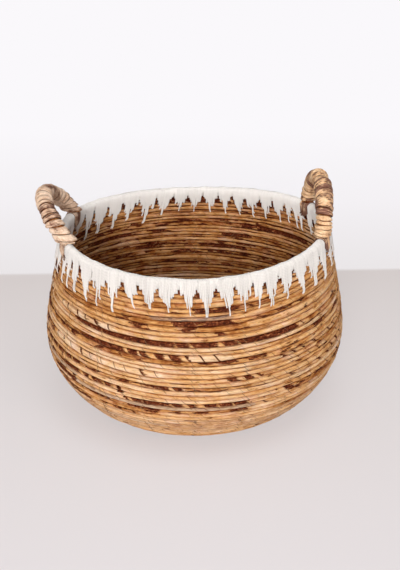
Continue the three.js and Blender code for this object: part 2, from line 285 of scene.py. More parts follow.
def wall_point(distance, offset):
    """Radius and height of a place on the wall, for numbers or arrays."""
    radius = np.interp(distance, outline_distance, outline[:, 0])
    height = np.interp(distance, outline_distance, outline[:, 1])
    along_radius = np.interp(distance, outline_distance, outline_along[:, 0])
    along_height = np.interp(distance, outline_distance, outline_along[:, 1])
    return radius + along_height * offset, height - along_radius * offset


def round_basket(radius, height, angle):
    """Points in space, with the rim's tilt and its dip at front and back."""
    x = radius * np.cos(angle)
    y = radius * np.sin(angle)
    saddle = RIM_SADDLE * (x * x - y * y) / hoop_path ** 2
    rise = (math.tan(RIM_TILT) * x + saddle) / BASKET_HEIGHT
    return np.stack(np.broadcast_arrays(x, y, height * (1 + rise)), axis=-1)


rim_front, rim_right = (round_basket(hoop_path, hoop_height, angle)[2] for angle in (-math.pi / 2, 0.0))
print("hoop's middle line at the front and at the right:", round(rim_front, 1), round(rim_right, 1), "mm")

# %% [markdown]
# ## Strands
# Rope, yarn, thread and bark strip are all long things with a section. A bevelled curve could sweep them,
# but it keeps one section from end to end, and here the section swells, twists and thins out on the way. So
# each strand is a run of rings, all with the same number of points, and one class joins the rings with faces
# and closes the ends. It also writes a UV map, with the length along the strand in metres as U and the way
# round it as V, which is what the rope's lay, the yarn's ply and the bark's grain follow. Four numbers for
# each ring, its makeup, say how that stretch is coloured.

# %% Strands of one piece
class Strands:
    """Gathers swept strands into one mesh."""

    def __init__(self):
        self.points = []
        self.faces = []
        self.face_uvs = []
        self.makeup = []
        self.count = 0

    def add(self, rings, along, makeup, round_start=0.0):
        """A strand from its rings of points, the length along it at each, and their makeup."""
        amount, sides, _ = rings.shape
        ring, side = np.meshgrid(np.arange(amount - 1), np.arange(sides), indexing="ij")
        beside = (side + 1) % sides
        faces = np.stack([ring * sides + side, (ring + 1) * sides + side, (ring + 1) * sides + beside,
                          ring * sides + beside], axis=-1).reshape(-1, 4)
        here = round_start + side / sides
        there = round_start + (side + 1) / sides
        uvs = np.stack([
            np.stack([along[ring], here], -1), np.stack([along[ring + 1], here], -1),
            np.stack([along[ring + 1], there], -1), np.stack([along[ring], there], -1),
        ], axis=2).reshape(-1, 4, 2)
        start = np.arange(sides)
        end = start + (amount - 1) * sides
        centres = rings.mean(axis=1)
        winding = np.cross(rings[0, 0] - centres[0], rings[0, 1] - centres[0]) @ (centres[1] - centres[0])
        if winding > 0:
            faces, uvs, end = faces[:, ::-1], uvs[:, ::-1], end[::-1]
        else:
            start = start[::-1]
        self.faces.extend((faces + self.count).tolist())
        self.face_uvs.append(uvs.reshape(-1, 2))
        for cap, place in ((start, along[0]), (end, along[-1])):
            self.faces.append((cap + self.count).tolist())
            self.face_uvs.append(np.tile([place, round_start], (sides, 1)))
        self.points.append(rings.reshape(-1, 3))
        point_makeup = np.repeat(makeup[:, None], sides, axis=1) if makeup.ndim == 2 else makeup
        self.makeup.append(point_makeup.reshape(-1, 4))
        self.count += amount * sides

    def build(self, name, material):
        mesh = bpy.data.meshes.new(name)
        mesh.from_pydata(np.concatenate(self.points) * MM, [], self.faces)
        layer = mesh.uv_layers.new(name="lay")
        layer.uv.foreach_set("vector", np.concatenate(self.face_uvs).astype(np.float32).ravel())
        attribute = mesh.attributes.new("makeup", "FLOAT_COLOR", "POINT")
        attribute.data.foreach_set("color", np.concatenate(self.makeup).astype(np.float32).ravel())
        mesh.polygons.foreach_set("use_smooth", np.ones(len(mesh.polygons), bool))
        mesh.materials.append(material)
        mesh.validate()
        piece = bpy.data.objects.new(name, mesh)
        bpy.context.scene.collection.objects.link(piece)
        print(name, "has", sum(len(face) - 2 for face in self.faces), "triangles")
        return piece


def seat(piece, slot, *nodes):
    """Every piece rides on the one body and stands for its CAD nodes. Its slot is not used."""
    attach(piece, "root")
    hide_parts(*nodes)


# %% [markdown]
# Three more helpers serve the strands. One gives a smooth random line, for all that is uneven about a
# hand-made thing. It starts from a seed, so that it comes out the same each time. The others put round rings
# on a path and measure the length along it.

# %% Paths and random lines
def wander(places, spacing, seed):
    """A smooth random line through -1 to 1, with a new value every spacing."""
    knots = np.random.default_rng(seed).uniform(-1.0, 1.0, int(np.max(places) / spacing) + 4)
    scaled = np.asarray(places) / spacing
    first = np.floor(scaled).astype(int)
    share = scaled - first
    share = share * share * (3 - 2 * share)
    return knots[first] * (1 - share) + knots[first + 1] * share


def tube(path, radius, sides):
    """Rings round a path of points, turned as little as possible from one to the next."""
    path = np.asarray(path, float)
    along = np.gradient(path, axis=0)
    along /= np.linalg.norm(along, axis=1)[:, None]
    across = np.cross(along[0], (0.3, 0.5, 0.81))
    across /= np.linalg.norm(across)
    angles = np.arange(sides) * 2 * math.pi / sides
    cosines, sines = np.cos(angles)[:, None], np.sin(angles)[:, None]
    rings = []
    for point, direction, size in zip(path, along, np.broadcast_to(radius, len(path))):
        across = across - direction * (across @ direction)
        across /= np.linalg.norm(across)
        rings.append(point + size * (cosines * across + sines * np.cross(direction, across)))
    return np.array(rings)


def lengths_along(path):
    steps = np.linalg.norm(np.diff(path, axis=0), axis=1)
    return np.concatenate([[0.0], np.cumsum(steps)])


print("a random line through five places:", np.round(wander(np.arange(5.0), 2.0, 1), 2))

# %% [markdown]
# ## Abaca rope
# The rope is dried banana-plant stem, torn into strips and wound on itself. One strip wraps round about
# every 18 mm, so its edges run as slanting lines over each row. Strips come from different layers of the
# stem: most are straw or golden, some pale, some dark purple-brown and a few weathered grey. One pattern
# repeated along the rope would give it away at once, so the material finds each strip from the UV map and
# gives it its own chances. The first cell gathers what is known of a point on the rope. Marks of bark are
# drawn out along the grain, so their noise is stretched: its sizes are lengths on the real strip, in metres.

# %% What is known of a point on the rope
STRIP_PITCH = 18 * MM
STRIP_DRIFT = 0.5
FIBRE_LENGTH = 9 * MM
FIBRES_ROUND = 26.0
STREAK_LENGTH = 1 / 60  # 17 mm
STREAKS_ROUND = 8.0
BLOTCH_SIZE = 1 / 55  # 18 mm
MOTTLE_SIZE = 1 / 330  # 3 mm


def read_strand(add):
    """The place along and round a strand, from its UV map, and the four numbers of its makeup."""
    lay = add("SeparateXYZ", add("UVMap", uv_map="lay")).outputs
    makeup = add("Attribute", attribute_name="makeup").outputs
    shade = add("SeparateColor", makeup["Color"]).outputs
    return lay["X"], lay["Y"], shade["Red"], shade["Green"], shade["Blue"], makeup["Alpha"]


def drawn_out_noise(add, along, around, length, amount_round, third, detail=2.0):
    """Noise in marks of this length, with so many of them round the strand. The third number picks one."""
    along = add("Math", along, 1 / length, operation="MULTIPLY")
    around = add("Math", around, amount_round, operation="MULTIPLY")
    place = add("CombineXYZ", along, around, third)
    return add("TexNoise", inputs={"Vector": place, "Scale": 1.0, "Detail": detail, "Roughness": 0.62})


def read_rope(add):
    point = SimpleNamespace()
    point.along, point.around, point.tone, point.dark, point.twist, point.grey = read_strand(add)

    # The strip that the point lies on, how far across it and how near to its edge, and its three chances
    drift = add("TexNoise", noise_dimensions="1D", inputs={"W": point.along, "Scale": 40.0, "Detail": 1.0})
    turns = add("Math", point.along, 1 / STRIP_PITCH, point.around, operation="MULTIPLY_ADD")
    strips = add("Math", drift, STRIP_DRIFT, turns, operation="MULTIPLY_ADD")
    point.strip = add("Math", strips, operation="FLOOR")
    point.across = add("Math", strips, operation="FRACT")
    point.from_edge = add("Math", strips, 0.5, operation="PINGPONG")
    dice = add("TexWhiteNoise", noise_dimensions="1D", inputs={"W": point.strip})
    point.chance = add("SeparateColor", dice.outputs["Color"]).outputs

    # Fibres and streaks run along the rope, blotches and fine mottle lie anywhere
    along, around = point.along, point.around
    point.fibre = drawn_out_noise(add, along, around, FIBRE_LENGTH, FIBRES_ROUND, point.strip, 3.0)
    point.streak = drawn_out_noise(add, along, around, STREAK_LENGTH, STREAKS_ROUND, 3.7)
    place = add("TexCoord").outputs["Object"]
    point.blotch = add("TexNoise", inputs={
        "Vector": place, "Scale": 1 / BLOTCH_SIZE, "Detail": 3.0, "Roughness": 0.65})
    point.mottle = add("TexNoise", inputs={
        "Vector": place, "Scale": 1 / MOTTLE_SIZE, "Detail": 2.0, "Roughness": 0.7})
    return point


print("one strip in", round(STRIP_PITCH / MM), "mm of rope, and", round(FIBRES_ROUND), "fibres round it")

# %% [markdown]
# The skin of the strips comes in three kinds. Straw runs from brown to pale, by the stretch's tone and the
# marks together, and is golden on some strips and rosier on others. Dark skin is an outer layer of the stem.
# Where the twist shows it covers part of each turn as slanting wedges, and elsewhere it is torn into
# streaks. Weathered skin is grey.

# %% Straw, dark and weathered skin
HUE_LENGTH = 1 / 22  # 45 mm
TEAR_LENGTH = 1 / 34  # 29 mm
PATCH_LENGTH = 1 / 24  # 42 mm
GOLDEN_STRAW = [(0.0, "#5a290e"), (0.2, "#9a5b28"), (0.4, "#c88f53"), (0.6, "#daa972"), (0.8, "#e2bb8f"),
                (1.0, "#e9caa5")]
ROSY_STRAW = [(0.0, "#582412"), (0.2, "#985831"), (0.4, "#c48b5e"), (0.6, "#d8a982"), (0.8, "#e2bc9c"),
              (1.0, "#eaccb3")]
PURPLE_SKIN = [(0.3, "#240a04"), (0.5, "#582410"), (0.66, "#8c4d2e"), (0.82, "#cd9362")]
GREY_SKIN = [(0.3, "#5c493d"), (0.5, "#a8917d"), (0.7, "#dcc9b4")]


def add_marks(add, level, *weights):
    """Moves a level up and down by marks, each centred on 0 and times its weight."""
    for mark, weight in weights:
        centred = add("Math", mark, 0.5, operation="SUBTRACT")
        level = add("Math", centred, weight, level, operation="MULTIPLY_ADD")
    return level


def straw_skin(add, point):
    level = add_marks(add, point.tone, (point.chance["Red"], 0.12), (point.fibre, 0.55), (point.streak, 0.8),
                      (point.blotch, 0.7), (point.mottle, 0.2))
    golden = set_ramp(add("ValToRGB", level), GOLDEN_STRAW)
    rosy = set_ramp(add("ValToRGB", level), ROSY_STRAW)
    hue = drawn_out_noise(add, point.along, point.around, HUE_LENGTH, 1.0, point.strip)
    is_rosy = add("MapRange", hue, 0.46, 0.66, **SOFT)
    return add("Mix", is_rosy, inputs={6: golden, 7: rosy}, data_type="RGBA")


def dark_cover(add, point):
    """Where dark skin lies, from 0 to 1."""
    # A wedge starts at the strip's edge and makes the winding plain to see
    slant = add("Math", point.chance["Green"], 0.38, operation="MULTIPLY")
    wedges = add("Math", point.across, 0.62, slant, operation="MULTIPLY_ADD")
    tears = drawn_out_noise(add, point.along, point.around, TEAR_LENGTH, 2.4, 2.9)
    torn = add("Math", tears, 2.4, -0.7, operation="MULTIPLY_ADD")
    wedged = add("MapRange", point.twist, 0.46, 0.62, **SOFT)
    more = add("Math", wedges, torn, operation="SUBTRACT")
    height = add("Math", wedged, more, torn, operation="MULTIPLY_ADD")

    # The fibres fray its outline, and patches keep a dark stretch from looking painted
    height = add_marks(add, height, (point.fibre, 0.55))
    patches = drawn_out_noise(add, point.along, point.around, PATCH_LENGTH, 1.0, 6.4)
    share = add_marks(add, point.dark, (patches, 0.9))
    above = add("Math", share, height, operation="SUBTRACT")
    is_dark = add("MapRange", above, -0.05, 0.05, **SOFT)

    # Small flecks of dark skin are left on all the straw
    spots = add("Math", point.blotch, 0.5, point.streak, operation="MULTIPLY_ADD")
    fleck = add("MapRange", spots, 0.6, 0.5, 0.0, 0.8, **SOFT)
    return add("Math", is_dark, fleck, operation="MAXIMUM")


def strip_skin(add, point):
    grain = add("Math", point.fibre, 1.1, -0.5, operation="MULTIPLY_ADD")
    level = add("Math", point.mottle, 0.9, grain, operation="MULTIPLY_ADD")
    purple = set_ramp(add("ValToRGB", level), PURPLE_SKIN)
    skin = add("Mix", dark_cover(add, point), inputs={6: straw_skin(add, point), 7: purple}, data_type="RGBA")
    weathered = set_ramp(add("ValToRGB", point.fibre), GREY_SKIN)
    return add("Mix", point.grey, inputs={6: skin, 7: weathered}, data_type="RGBA")


print("stops in the straw ramps:", len(GOLDEN_STRAW), len(ROSY_STRAW))

# %% [markdown]
# Dark lines show how the rope is wound: painted shadow at the edge of every fourth strip, painted shade at
# every edge where the winding is loose, and long thin lines. The rounded sides of a row are painted with
# shade that browns them, and painted shade in the crevice between two rows is nearly black in places. The V
# of the UV map says where the sides are, so the crevices follow the rows.

# %% Lines and painted shade
LONG_LINE_LENGTH = 45 * MM
CREVICE_LENGTH = 1 / 30  # 33 mm
SHADOW_AND_SPLIT_BROWN = "#58260c"
CREVICE_SHADE_BROWN = "#4c1c06"
SIDE_SHADE_TAN = "#cc8a48"
INSIDE_SHADE_TAN = "#b87a3c"


def dark_lines(add, point):
    # The shadow under a strip's edge
    edge = add("MapRange", point.from_edge, 0.0, 0.045, 1.0, 0.0, **SOFT)
    picked = add("Math", point.chance["Blue"], 0.75, operation="GREATER_THAN")
    some = add("Math", picked, 0.8, operation="MULTIPLY")
    shown = add("MapRange", point.twist, 0.35, 0.9, **SOFT)
    strength = add("Math", shown, some, operation="MAXIMUM")
    line = add("Math", edge, strength, operation="MULTIPLY")

    # Broad ticks of painted shade, one a turn, where the rope is loosely wound and its strips stand apart
    wide_edge = add("MapRange", point.from_edge, 0.03, 0.08, 1.0, 0.0, **SOFT)
    loose = add("MapRange", point.twist, 0.85, 1.0, **SOFT)
    tick_shade = add("Math", wide_edge, loose, operation="MULTIPLY")
    line = add("Math", line, tick_shade, operation="MAXIMUM")

    # Fine splits between the fibres, a few centimetres long
    waves = drawn_out_noise(add, point.along, point.around, LONG_LINE_LENGTH, 9.0, 8.1)
    from_middle = add("Math", waves, 0.5, operation="SUBTRACT")
    from_middle = add("Math", from_middle, operation="ABSOLUTE")
    thin = add("MapRange", from_middle, 0.0, 0.03, 0.42, 0.0, **SOFT)
    return add("Math", line, thin, operation="MAXIMUM")


def shade_sides(add, point, skin):
    # Painted shade: less light gets to the sides of a row, so they are darkened and browned
    turn = add("Math", point.around, 2 * math.pi, operation="MULTIPLY")
    sine = add("Math", turn, operation="SINE")
    to_side = add("Math", sine, operation="ABSOLUTE")
    side_shade = add("MapRange", to_side, 0.4, 1.0, 0.0, 0.5, **SOFT)
    skin = add("Mix", side_shade, inputs={6: skin, 7: colour(SIDE_SHADE_TAN)}, data_type="RGBA", blend_type="MULTIPLY")

    # The rows part more in some places than in others, so the painted crevice shade is a broken line
    side = add("Math", sine, operation="SIGN")
    openness = drawn_out_noise(add, point.along, side, CREVICE_LENGTH, 3.0, 5.3)
    opened = add("Math", openness, 0.55, operation="SUBTRACT")
    to_side = add("Math", opened, 1.7, to_side, operation="MULTIPLY_ADD")

    # Inside the basket the painted crevice shade is deeper, and more painted shade makes the skin a little
    # browner
    cosine = add("Math", turn, operation="COSINE")
    inside = add("MapRange", cosine, 0.0, -0.5, **SOFT)
    to_side = add("Math", inside, 0.2, to_side, operation="MULTIPLY_ADD")
    deepest = add("Math", inside, 0.12, 0.85, operation="MULTIPLY_ADD")
    crevice_shade = add("MapRange", to_side, 0.8, 1.06, 0.0, deepest, **SOFT)
    skin = add("Mix", crevice_shade, inputs={6: skin, 7: colour(CREVICE_SHADE_BROWN)}, data_type="RGBA")
    inside_shade = add("Math", inside, 0.2, operation="MULTIPLY")
    return add("Mix", inside_shade, inputs={6: skin, 7: colour(INSIDE_SHADE_TAN)}, data_type="RGBA", blend_type="MULTIPLY")


def rope_relief(add, point, lines):
    """Bump from the fibres and streaks, with the lines and the strips' edges sunk in."""
    height = add("Math", lines, -0.9, point.fibre, operation="MULTIPLY_ADD")
    height = add("Math", point.streak, 0.8, height, operation="MULTIPLY_ADD")
    groove = add("MapRange", point.from_edge, 0.0, 0.13, -1.1, 0.0, **SOFT)
    depth = add("Math", point.twist, 0.7, 0.3, operation="MULTIPLY_ADD")
    height = add("Math", groove, depth, height, operation="MULTIPLY_ADD")
    return add("Bump", inputs={"Height": height, "Strength": 0.75, "Distance": 0.9 * MM})


def make_rope_material():
    material, add = new_material("twisted_abaca_rope")
    point = read_rope(add)
    lines = dark_lines(add, point)
    # Painted shadow under the strips' edges and painted shade in the ticks, with the dark splits
    skin = add("Mix", lines, inputs={6: strip_skin(add, point), 7: colour(SHADOW_AND_SPLIT_BROWN)}, data_type="RGBA")
    skin = shade_sides(add, point, skin)
    rough = add("MapRange", point.fibre, inputs={"To Min": 0.5, "To Max": 0.85})
    shader = add("BsdfPrincipled", inputs={
        "Base Color": skin, "Roughness": rough, "Normal": rope_relief(add, point, lines),
        "Specular IOR Level": 0.06})
    add("OutputMaterial", shader)
    return material


rope_material = make_rope_material()
print("rope material has", len(rope_material.node_tree.nodes), "nodes")

# %% [markdown]
# ## The coil
# The rope spirals outwards by one row each turn, across the base and up the wall. A screw modifier could
# draw such a spiral, but with every row alike. This one is hand-made: the rows are thick here and thin
# there, sag a little towards the front and the right, and the strips' lay stands up more on some stretches.
# The long rope changes colour every few hand spans, where a new strip was fed in. The rows that the
# photograph shows, outside at the front and inside at the back, are listed, with the row's number from the
# middle of the base and how far the stretch reaches in degrees. All others are drawn by chance from the same
# kinds.

# %% Rows and kinds of rope
START_RADIUS = 4.6
ROW_TOP = outline_length - HOOP_RADIUS - 0.6
ROWS = 68
BASE_ROWS = 20
ROW_PITCH = (ROW_TOP + 0.5 - START_RADIUS) / ROWS

# tone, dark share, visible twist, grey, and how thick the rope is there
STRETCH_KINDS = {
    "straw": (0.60, 0.02, 0.20, 0.0, 1.0),
    "golden": (0.49, 0.06, 0.20, 0.0, 0.95),
    "pale": (0.76, 0.0, 0.10, 0.0, 1.15),
    "brown": (0.30, 0.25, 0.35, 0.0, 0.85),
    "dark": (0.25, 0.85, 0.45, 0.0, 1.1),
    "wedges": (0.60, 0.62, 0.70, 0.0, 1.15),
    "broken": (0.50, 0.78, 0.65, 0.0, 1.1),
    "flecked": (0.56, 0.20, 0.65, 0.0, 1.0),
    "patchy": (0.38, 0.46, 0.30, 0.0, 0.9),
    "ticked": (0.86, 0.0, 1.0, 0.12, 1.65),
    "grey": (0.30, 0.50, 0.30, 0.5, 0.8),
    "ashen": (0.70, 0.0, 0.20, 0.6, 1.05),
    "dusty": (0.55, 0.05, 0.25, 0.3, 1.0),
    "lumpy": (0.82, 0.13, 0.85, 0.0, 1.6),
}
RANDOM_KINDS = ["straw", "golden", "pale", "brown", "dark", "wedges", "patchy", "flecked", "grey", "lumpy"]
RANDOM_SHARES = [0.22, 0.19, 0.13, 0.11, 0.04, 0.05, 0.08, 0.10, 0.03, 0.05]
print(ROWS, "rows of", round(float(ROW_PITCH), 2), "mm,", len(STRETCH_KINDS), "kinds of rope")

# %% Stretches listed one by one
# Rows seen outside at the front: row number, from and to in degrees right of the front, kind of rope
FRONT_STRETCHES = [
    (66, -70, 70, "broken"), (65, -70, 70, "patchy"), (64, -70, 70, "golden"), (63, -70, -20, "golden"),
    (63, -20, 2, "brown"), (63, 2, 70, "golden"), (62, -70, 0, "golden"), (62, 0, 17, "dark"),
    (62, 17, 30, "brown"), (62, 30, 70, "golden"), (61, -70, 70, "golden"),
    (60, -75, -45, "golden"), (60, -45, -16, "brown"), (60, -16, 14, "grey"), (60, 14, 75, "golden"),
    (59, -75, -8, "brown"), (59, -8, 14, "dark"), (59, 14, 26, "patchy"), (59, 26, 48, "brown"),
    (59, 48, 80, "golden"),
    (58, -75, -24, "golden"), (58, -24, 2, "patchy"), (58, 2, 20, "brown"), (58, 20, 75, "straw"),
    (57, -75, 8, "straw"), (57, 8, 17, "patchy"), (57, 17, 75, "golden"),
    (56, -75, -61, "straw"), (56, -61, -29, "ticked"), (56, -29, 75, "straw"),
    (55, -75, -50, "golden"), (55, -50, -28, "dark"), (55, -28, 30, "broken"), (55, 30, 41, "dark"),
    (55, 41, 47, "flecked"), (55, 47, 62, "patchy"), (55, 62, 75, "brown"),
    (54, -75, 75, "pale"), (53, -75, 28, "straw"), (53, 28, 50, "brown"), (53, 50, 75, "patchy"),
    (52, -80, -46, "patchy"), (52, -46, -27, "dark"), (52, -27, -2, "wedges"), (52, -2, 13, "ticked"),
    (52, 13, 75, "straw"),
    (51, -75, -52, "brown"), (51, -52, -26, "patchy"), (51, -26, 0, "brown"), (51, 0, 44, "patchy"),
    (51, 44, 75, "golden"), (50, -75, 32, "pale"), (50, 32, 75, "flecked"),
    (49, -75, 20, "pale"), (49, 20, 50, "golden"), (49, 50, 75, "brown"), (48, -62, -11, "lumpy"),
    (48, -11, 40, "straw"), (48, 40, 75, "flecked"), (47, -75, 11, "straw"), (47, 11, 24, "wedges"),
    (47, 24, 75, "golden"), (46, -75, 28, "straw"), (46, 28, 75, "flecked"), (45, -75, -44, "broken"),
    (45, -44, -14, "patchy"), (45, -14, -3, "wedges"), (45, -3, 20, "patchy"), (45, 20, 75, "flecked"),
    (44, -75, -52, "flecked"), (44, -52, 75, "pale"), (43, -75, -54, "patchy"), (43, -54, -26, "broken"),
    (43, -26, 36, "straw"), (43, 36, 75, "flecked"), (42, -75, -46, "ashen"), (42, -46, 30, "pale"),
    (42, 30, 38, "wedges"), (42, 38, 75, "patchy"), (41, -75, -50, "patchy"), (41, -50, -25, "flecked"),
    (41, -25, 20, "broken"), (41, 20, 36, "straw"), (41, 36, 75, "brown"), (40, -75, -64, "straw"),
    (40, -64, -48, "dark"), (40, -48, 22, "ashen"), (40, 22, 75, "flecked"),
    (39, -70, -52, "pale"), (39, -52, 20, "patchy"), (39, 20, 75, "pale"),
    (38, -75, -55, "patchy"), (38, -55, -30, "golden"), (38, -30, -12, "brown"), (38, -12, 75, "straw"),
    (37, -60, -20, "patchy"), (37, -20, 30, "straw"), (37, 30, 75, "brown"), (36, -75, -56, "straw"),
    (36, -56, -42, "dark"), (36, -42, 75, "dusty"), (35, -70, 0, "pale"), (35, 0, 70, "dusty"),
    (34, -70, 20, "dusty"), (34, 20, 70, "pale"), (33, -70, -10, "ashen"), (33, -10, 70, "dusty"),
    (32, -70, 70, "dusty"), (31, -70, 70, "dusty"), (30, -70, 70, "dusty"),
]

# Rows seen inside at the back: row number, from and to in degrees left of the back, kind of rope
BACK_STRETCHES = [
    (64, -60, 60, "golden"), (63, -60, 60, "golden"), (62, -60, 60, "brown"), (61, -60, 60, "golden"),
    (60, -60, 60, "golden"), (59, -60, -35, "golden"), (59, -35, 34, "patchy"), (59, 34, 60, "golden"),
    (58, -60, -20, "dark"), (58, -20, 10, "brown"), (58, 10, 60, "patchy"), (57, -60, 60, "golden"),
    (56, -60, 5, "golden"), (56, 5, 34, "patchy"), (56, 34, 60, "dark"), (55, -60, -25, "brown"),
    (55, -25, -10, "dark"), (55, -10, 60, "golden"), (54, -60, 30, "brown"), (54, 30, 60, "patchy"),
    (53, -60, 60, "straw"), (52, -60, 60, "patchy"), (51, -60, -22, "brown"), (51, -22, 0, "dark"),
    (51, 0, 20, "patchy"), (51, 20, 31, "dark"), (51, 31, 60, "brown"), (50, -60, 60, "golden"),
    (49, -60, 60, "patchy"), (48, -60, 60, "brown"), (47, -60, 60, "golden"), (46, -60, 60, "brown"),
    (45, -60, 60, "patchy"), (44, -60, 60, "golden"), (43, -60, 60, "brown"), (42, -60, 60, "golden"),
]
print("stretches listed by hand:", len(FRONT_STRETCHES) + len(BACK_STRETCHES))

# %% [markdown]
# The plan says what kind of rope lies at every half degree of its turns. Chance fills it first, with
# stretches of an eighth to a half of a turn, and the listed stretches are laid over that. The rope's
# thickness changes softly from one stretch to the next.

# %% Plan of the rope
PLAN_STEPS = 720
SHORTEST_STRETCH = 0.12
LONGEST_STRETCH = 0.55
SOFT_STEPS = 25

# Places of the front and the back, in turns
FRONT = 0.75
BACK = 0.25


def plan_rope():
    draw = np.random.default_rng(31)
    plan = np.zeros((PLAN_STEPS * (ROWS + 4), 5))
    place = 0.0
    while place < len(plan):
        kind = RANDOM_KINDS[draw.choice(len(RANDOM_KINDS), p=RANDOM_SHARES)]
        end = place + PLAN_STEPS * draw.uniform(SHORTEST_STRETCH, LONGEST_STRETCH)
        plan[int(place):int(end)] = STRETCH_KINDS[kind]
        place = end
    for side, stretches in ((BACK, BACK_STRETCHES), (FRONT, FRONT_STRETCHES)):
        for row, start, end, kind in stretches:
            first = round((row + side + start / 360) * PLAN_STEPS)
            last = round((row + side + end / 360) * PLAN_STEPS)
            plan[first:last] = STRETCH_KINDS[kind]
    return plan


rope_plan = plan_rope()
soft_ends = np.hanning(SOFT_STEPS) / np.hanning(SOFT_STEPS).sum()
girth_plan = np.convolve(rope_plan[:, 4], soft_ends, mode="same")
print("share of dark skin in the whole rope:", round(float(rope_plan[:, 1].mean()), 2))

# %% [markdown]
# The rows are uneven in two ways, slowly over a third of a turn and quickly over a few centimetres. Between
# the base and the rim they also sag a little at the front, more at the right, and rise on the left. A thick
# stretch pushes the next row away.

# %% Where the rows run
UNEVENNESS = 1.4
QUICK_UNEVENNESS = 0.45
SWAY = 4.5
SAG = 3.0
SLACK_ROWS = [24.0, 44.0, 54.0, 61.0]
SLACK_SHARES = [0.0, 1.0, 1.0, 0.0]
PUSH_SHARE = 0.35
RING_SPACING = 2.7
LARGEST_BEND = 0.35
LEAST_RADIUS = 3.0


def girth_at(turn):
    return np.interp(np.maximum(turn, 0.0) * PLAN_STEPS, np.arange(len(girth_plan)), girth_plan)


def row_edge(turn):
    """Distance from the middle of the base to the inner edge of the rope, with its unevenness."""
    slow = UNEVENNESS * wander(turn + 2.0, 0.31, 7)
    quick = QUICK_UNEVENNESS * wander(turn + 2.0, 0.04, 8)
    slack = np.interp(turn, SLACK_ROWS, SLACK_SHARES)
    sagged = slack * (SAG * (1 - np.sin(2 * math.pi * turn)) / 2 + SWAY * np.cos(2 * math.pi * turn))
    pushed = PUSH_SHARE * ROW_PITCH * (girth_at(turn - 1.0) - girth_at(turn))
    return START_RADIUS + ROW_PITCH * turn + slow + quick - sagged + pushed


def row_radius(turn):
    return wall_point(START_RADIUS + ROW_PITCH * (turn + 0.5), 0.0)[0]


def rope_length_at(turn):
    """Length of the rope from its start to a turn, in millimetres."""
    steps = np.linspace(0.0, max(turn, 0.0), 400)
    radius = row_radius(steps)
    return float(np.sum((radius[1:] + radius[:-1]) / 2 * np.diff(steps) * 2 * math.pi))


def ring_turns(first_turn, last_turn):
    """Turns at which rings are placed, a few millimetres apart along the rope."""
    turns = [first_turn]
    while turns[-1] < last_turn:
        radius = max(LEAST_RADIUS, float(row_radius(turns[-1])))
        spacing = min(RING_SPACING, LARGEST_BEND * radius)
        turns.append(turns[-1] + spacing / (2 * math.pi * radius))
    turns[-1] = last_turn
    return np.array(turns)


print("rope in the basket:", round(rope_length_at(ROWS) / 1000, 1), "m")

# %% [markdown]
# The rope's own surface is shaped too, since a smooth tube with a bump looks like plastic. Each strip rises
# to its edge and drops into a notch, where the twist shows, and the skin is lumpy everywhere.

# %% Rope shape
ROPE_SIDES = 12
STRIP_RISE = 0.18
NOTCH_DEPTH = 0.26
NOTCH_WIDTH = 0.09
LUMP_HEIGHT = 0.045
LUMP_LENGTH = 8.0
ROW_PRESS = 1.04

around_rope = 2 * math.pi * (np.arange(ROPE_SIDES) / ROPE_SIDES - 0.25)


def rope_surface(along, twist):
    """How far the skin stands out, as a share of the rope's thickness, round the rings and along them."""
    lay = (along[:, None] / (STRIP_PITCH / MM) + around_rope / (2 * math.pi)) % 1.0
    notch = np.exp(-(np.minimum(lay, 1 - lay) / NOTCH_WIDTH) ** 2)
    lumps = [wander(along + 40.0, LUMP_LENGTH, 60 + side) for side in range(ROPE_SIDES)]
    relief = 1.0 + STRIP_RISE * twist * (lay - 0.5) - NOTCH_DEPTH * twist ** 2 * notch
    return relief + LUMP_HEIGHT * np.stack(lumps, axis=1)


def rope_thickness(along, half):
    """Half the rope's thickness out of the wall: less where a row is squeezed, and uneven by chance."""
    girth = 1.0 + 0.05 * wander(along + 50.0, 24.0, 9) + 0.03 * wander(along + 50.0, 7.0, 10)
    return ROPE_HALF * np.clip(0.55 + 0.45 * half / (ROW_PITCH / 2), 0.35, 1.12) * girth


def sweep_rope(first_turn, last_turn, tip_turns):
    turns = ring_turns(first_turn, last_turn)
    low = row_edge(turns)
    high = np.minimum(row_edge(turns + 1.0), ROW_TOP)
    middle = (low + high) / 2
    half = np.maximum((high - low) / 2, 0.3)
    radius = wall_point(middle, 0.0)[0]
    gaps = np.diff(turns) * 2 * math.pi * (radius[1:] + radius[:-1]) / 2
    along = rope_length_at(first_turn) + np.concatenate([[0.0], np.cumsum(gaps)])
    thick = rope_thickness(along, half)
    if tip_turns > 0.0:
        closing = np.sqrt(np.clip((turns - first_turn) / tip_turns, 0.02, 1.0))
        thick = thick * closing
        half = half * closing

    # A change of colour follows the edge of a strip, slanting over the row
    slant = STRIP_PITCH / MM * around_rope / (2 * math.pi) / (2 * math.pi * radius[:, None])
    planned = np.clip((turns[:, None] + slant) * PLAN_STEPS, 0, len(rope_plan) - 1).astype(int)
    makeup = rope_plan[planned, :4]
    offset = thick[:, None] * np.cos(around_rope) * rope_surface(along, makeup[:, :, 2])
    distance = middle[:, None] + ROW_PRESS * half[:, None] * np.sin(around_rope)
    rings = round_basket(*wall_point(distance, offset), (2 * math.pi * turns)[:, None])
    rings[:, :, 2] = np.maximum(rings[:, :, 2], 0.0)
    return rings, along * MM, makeup


first_row = sweep_rope(BASE_ROWS, BASE_ROWS + 1, 0.0)[0]
print("the wall's first row has", len(first_row), "rings of", ROPE_SIDES, "points")

# %% [markdown]
# The rope is laid in five lengths that butt end to end: the knot at its start, whose tip closes to a point,
# the base, and three for the wall.

# %% Lengths of rope
def make_rope(name, node, first_turn, last_turn, tip_turns=0.0):
    strands = Strands()
    strands.add(*sweep_rope(first_turn, last_turn, tip_turns), round_start=-0.25)
    seat(strands.build(name, rope_material), "abaca_rope", node)


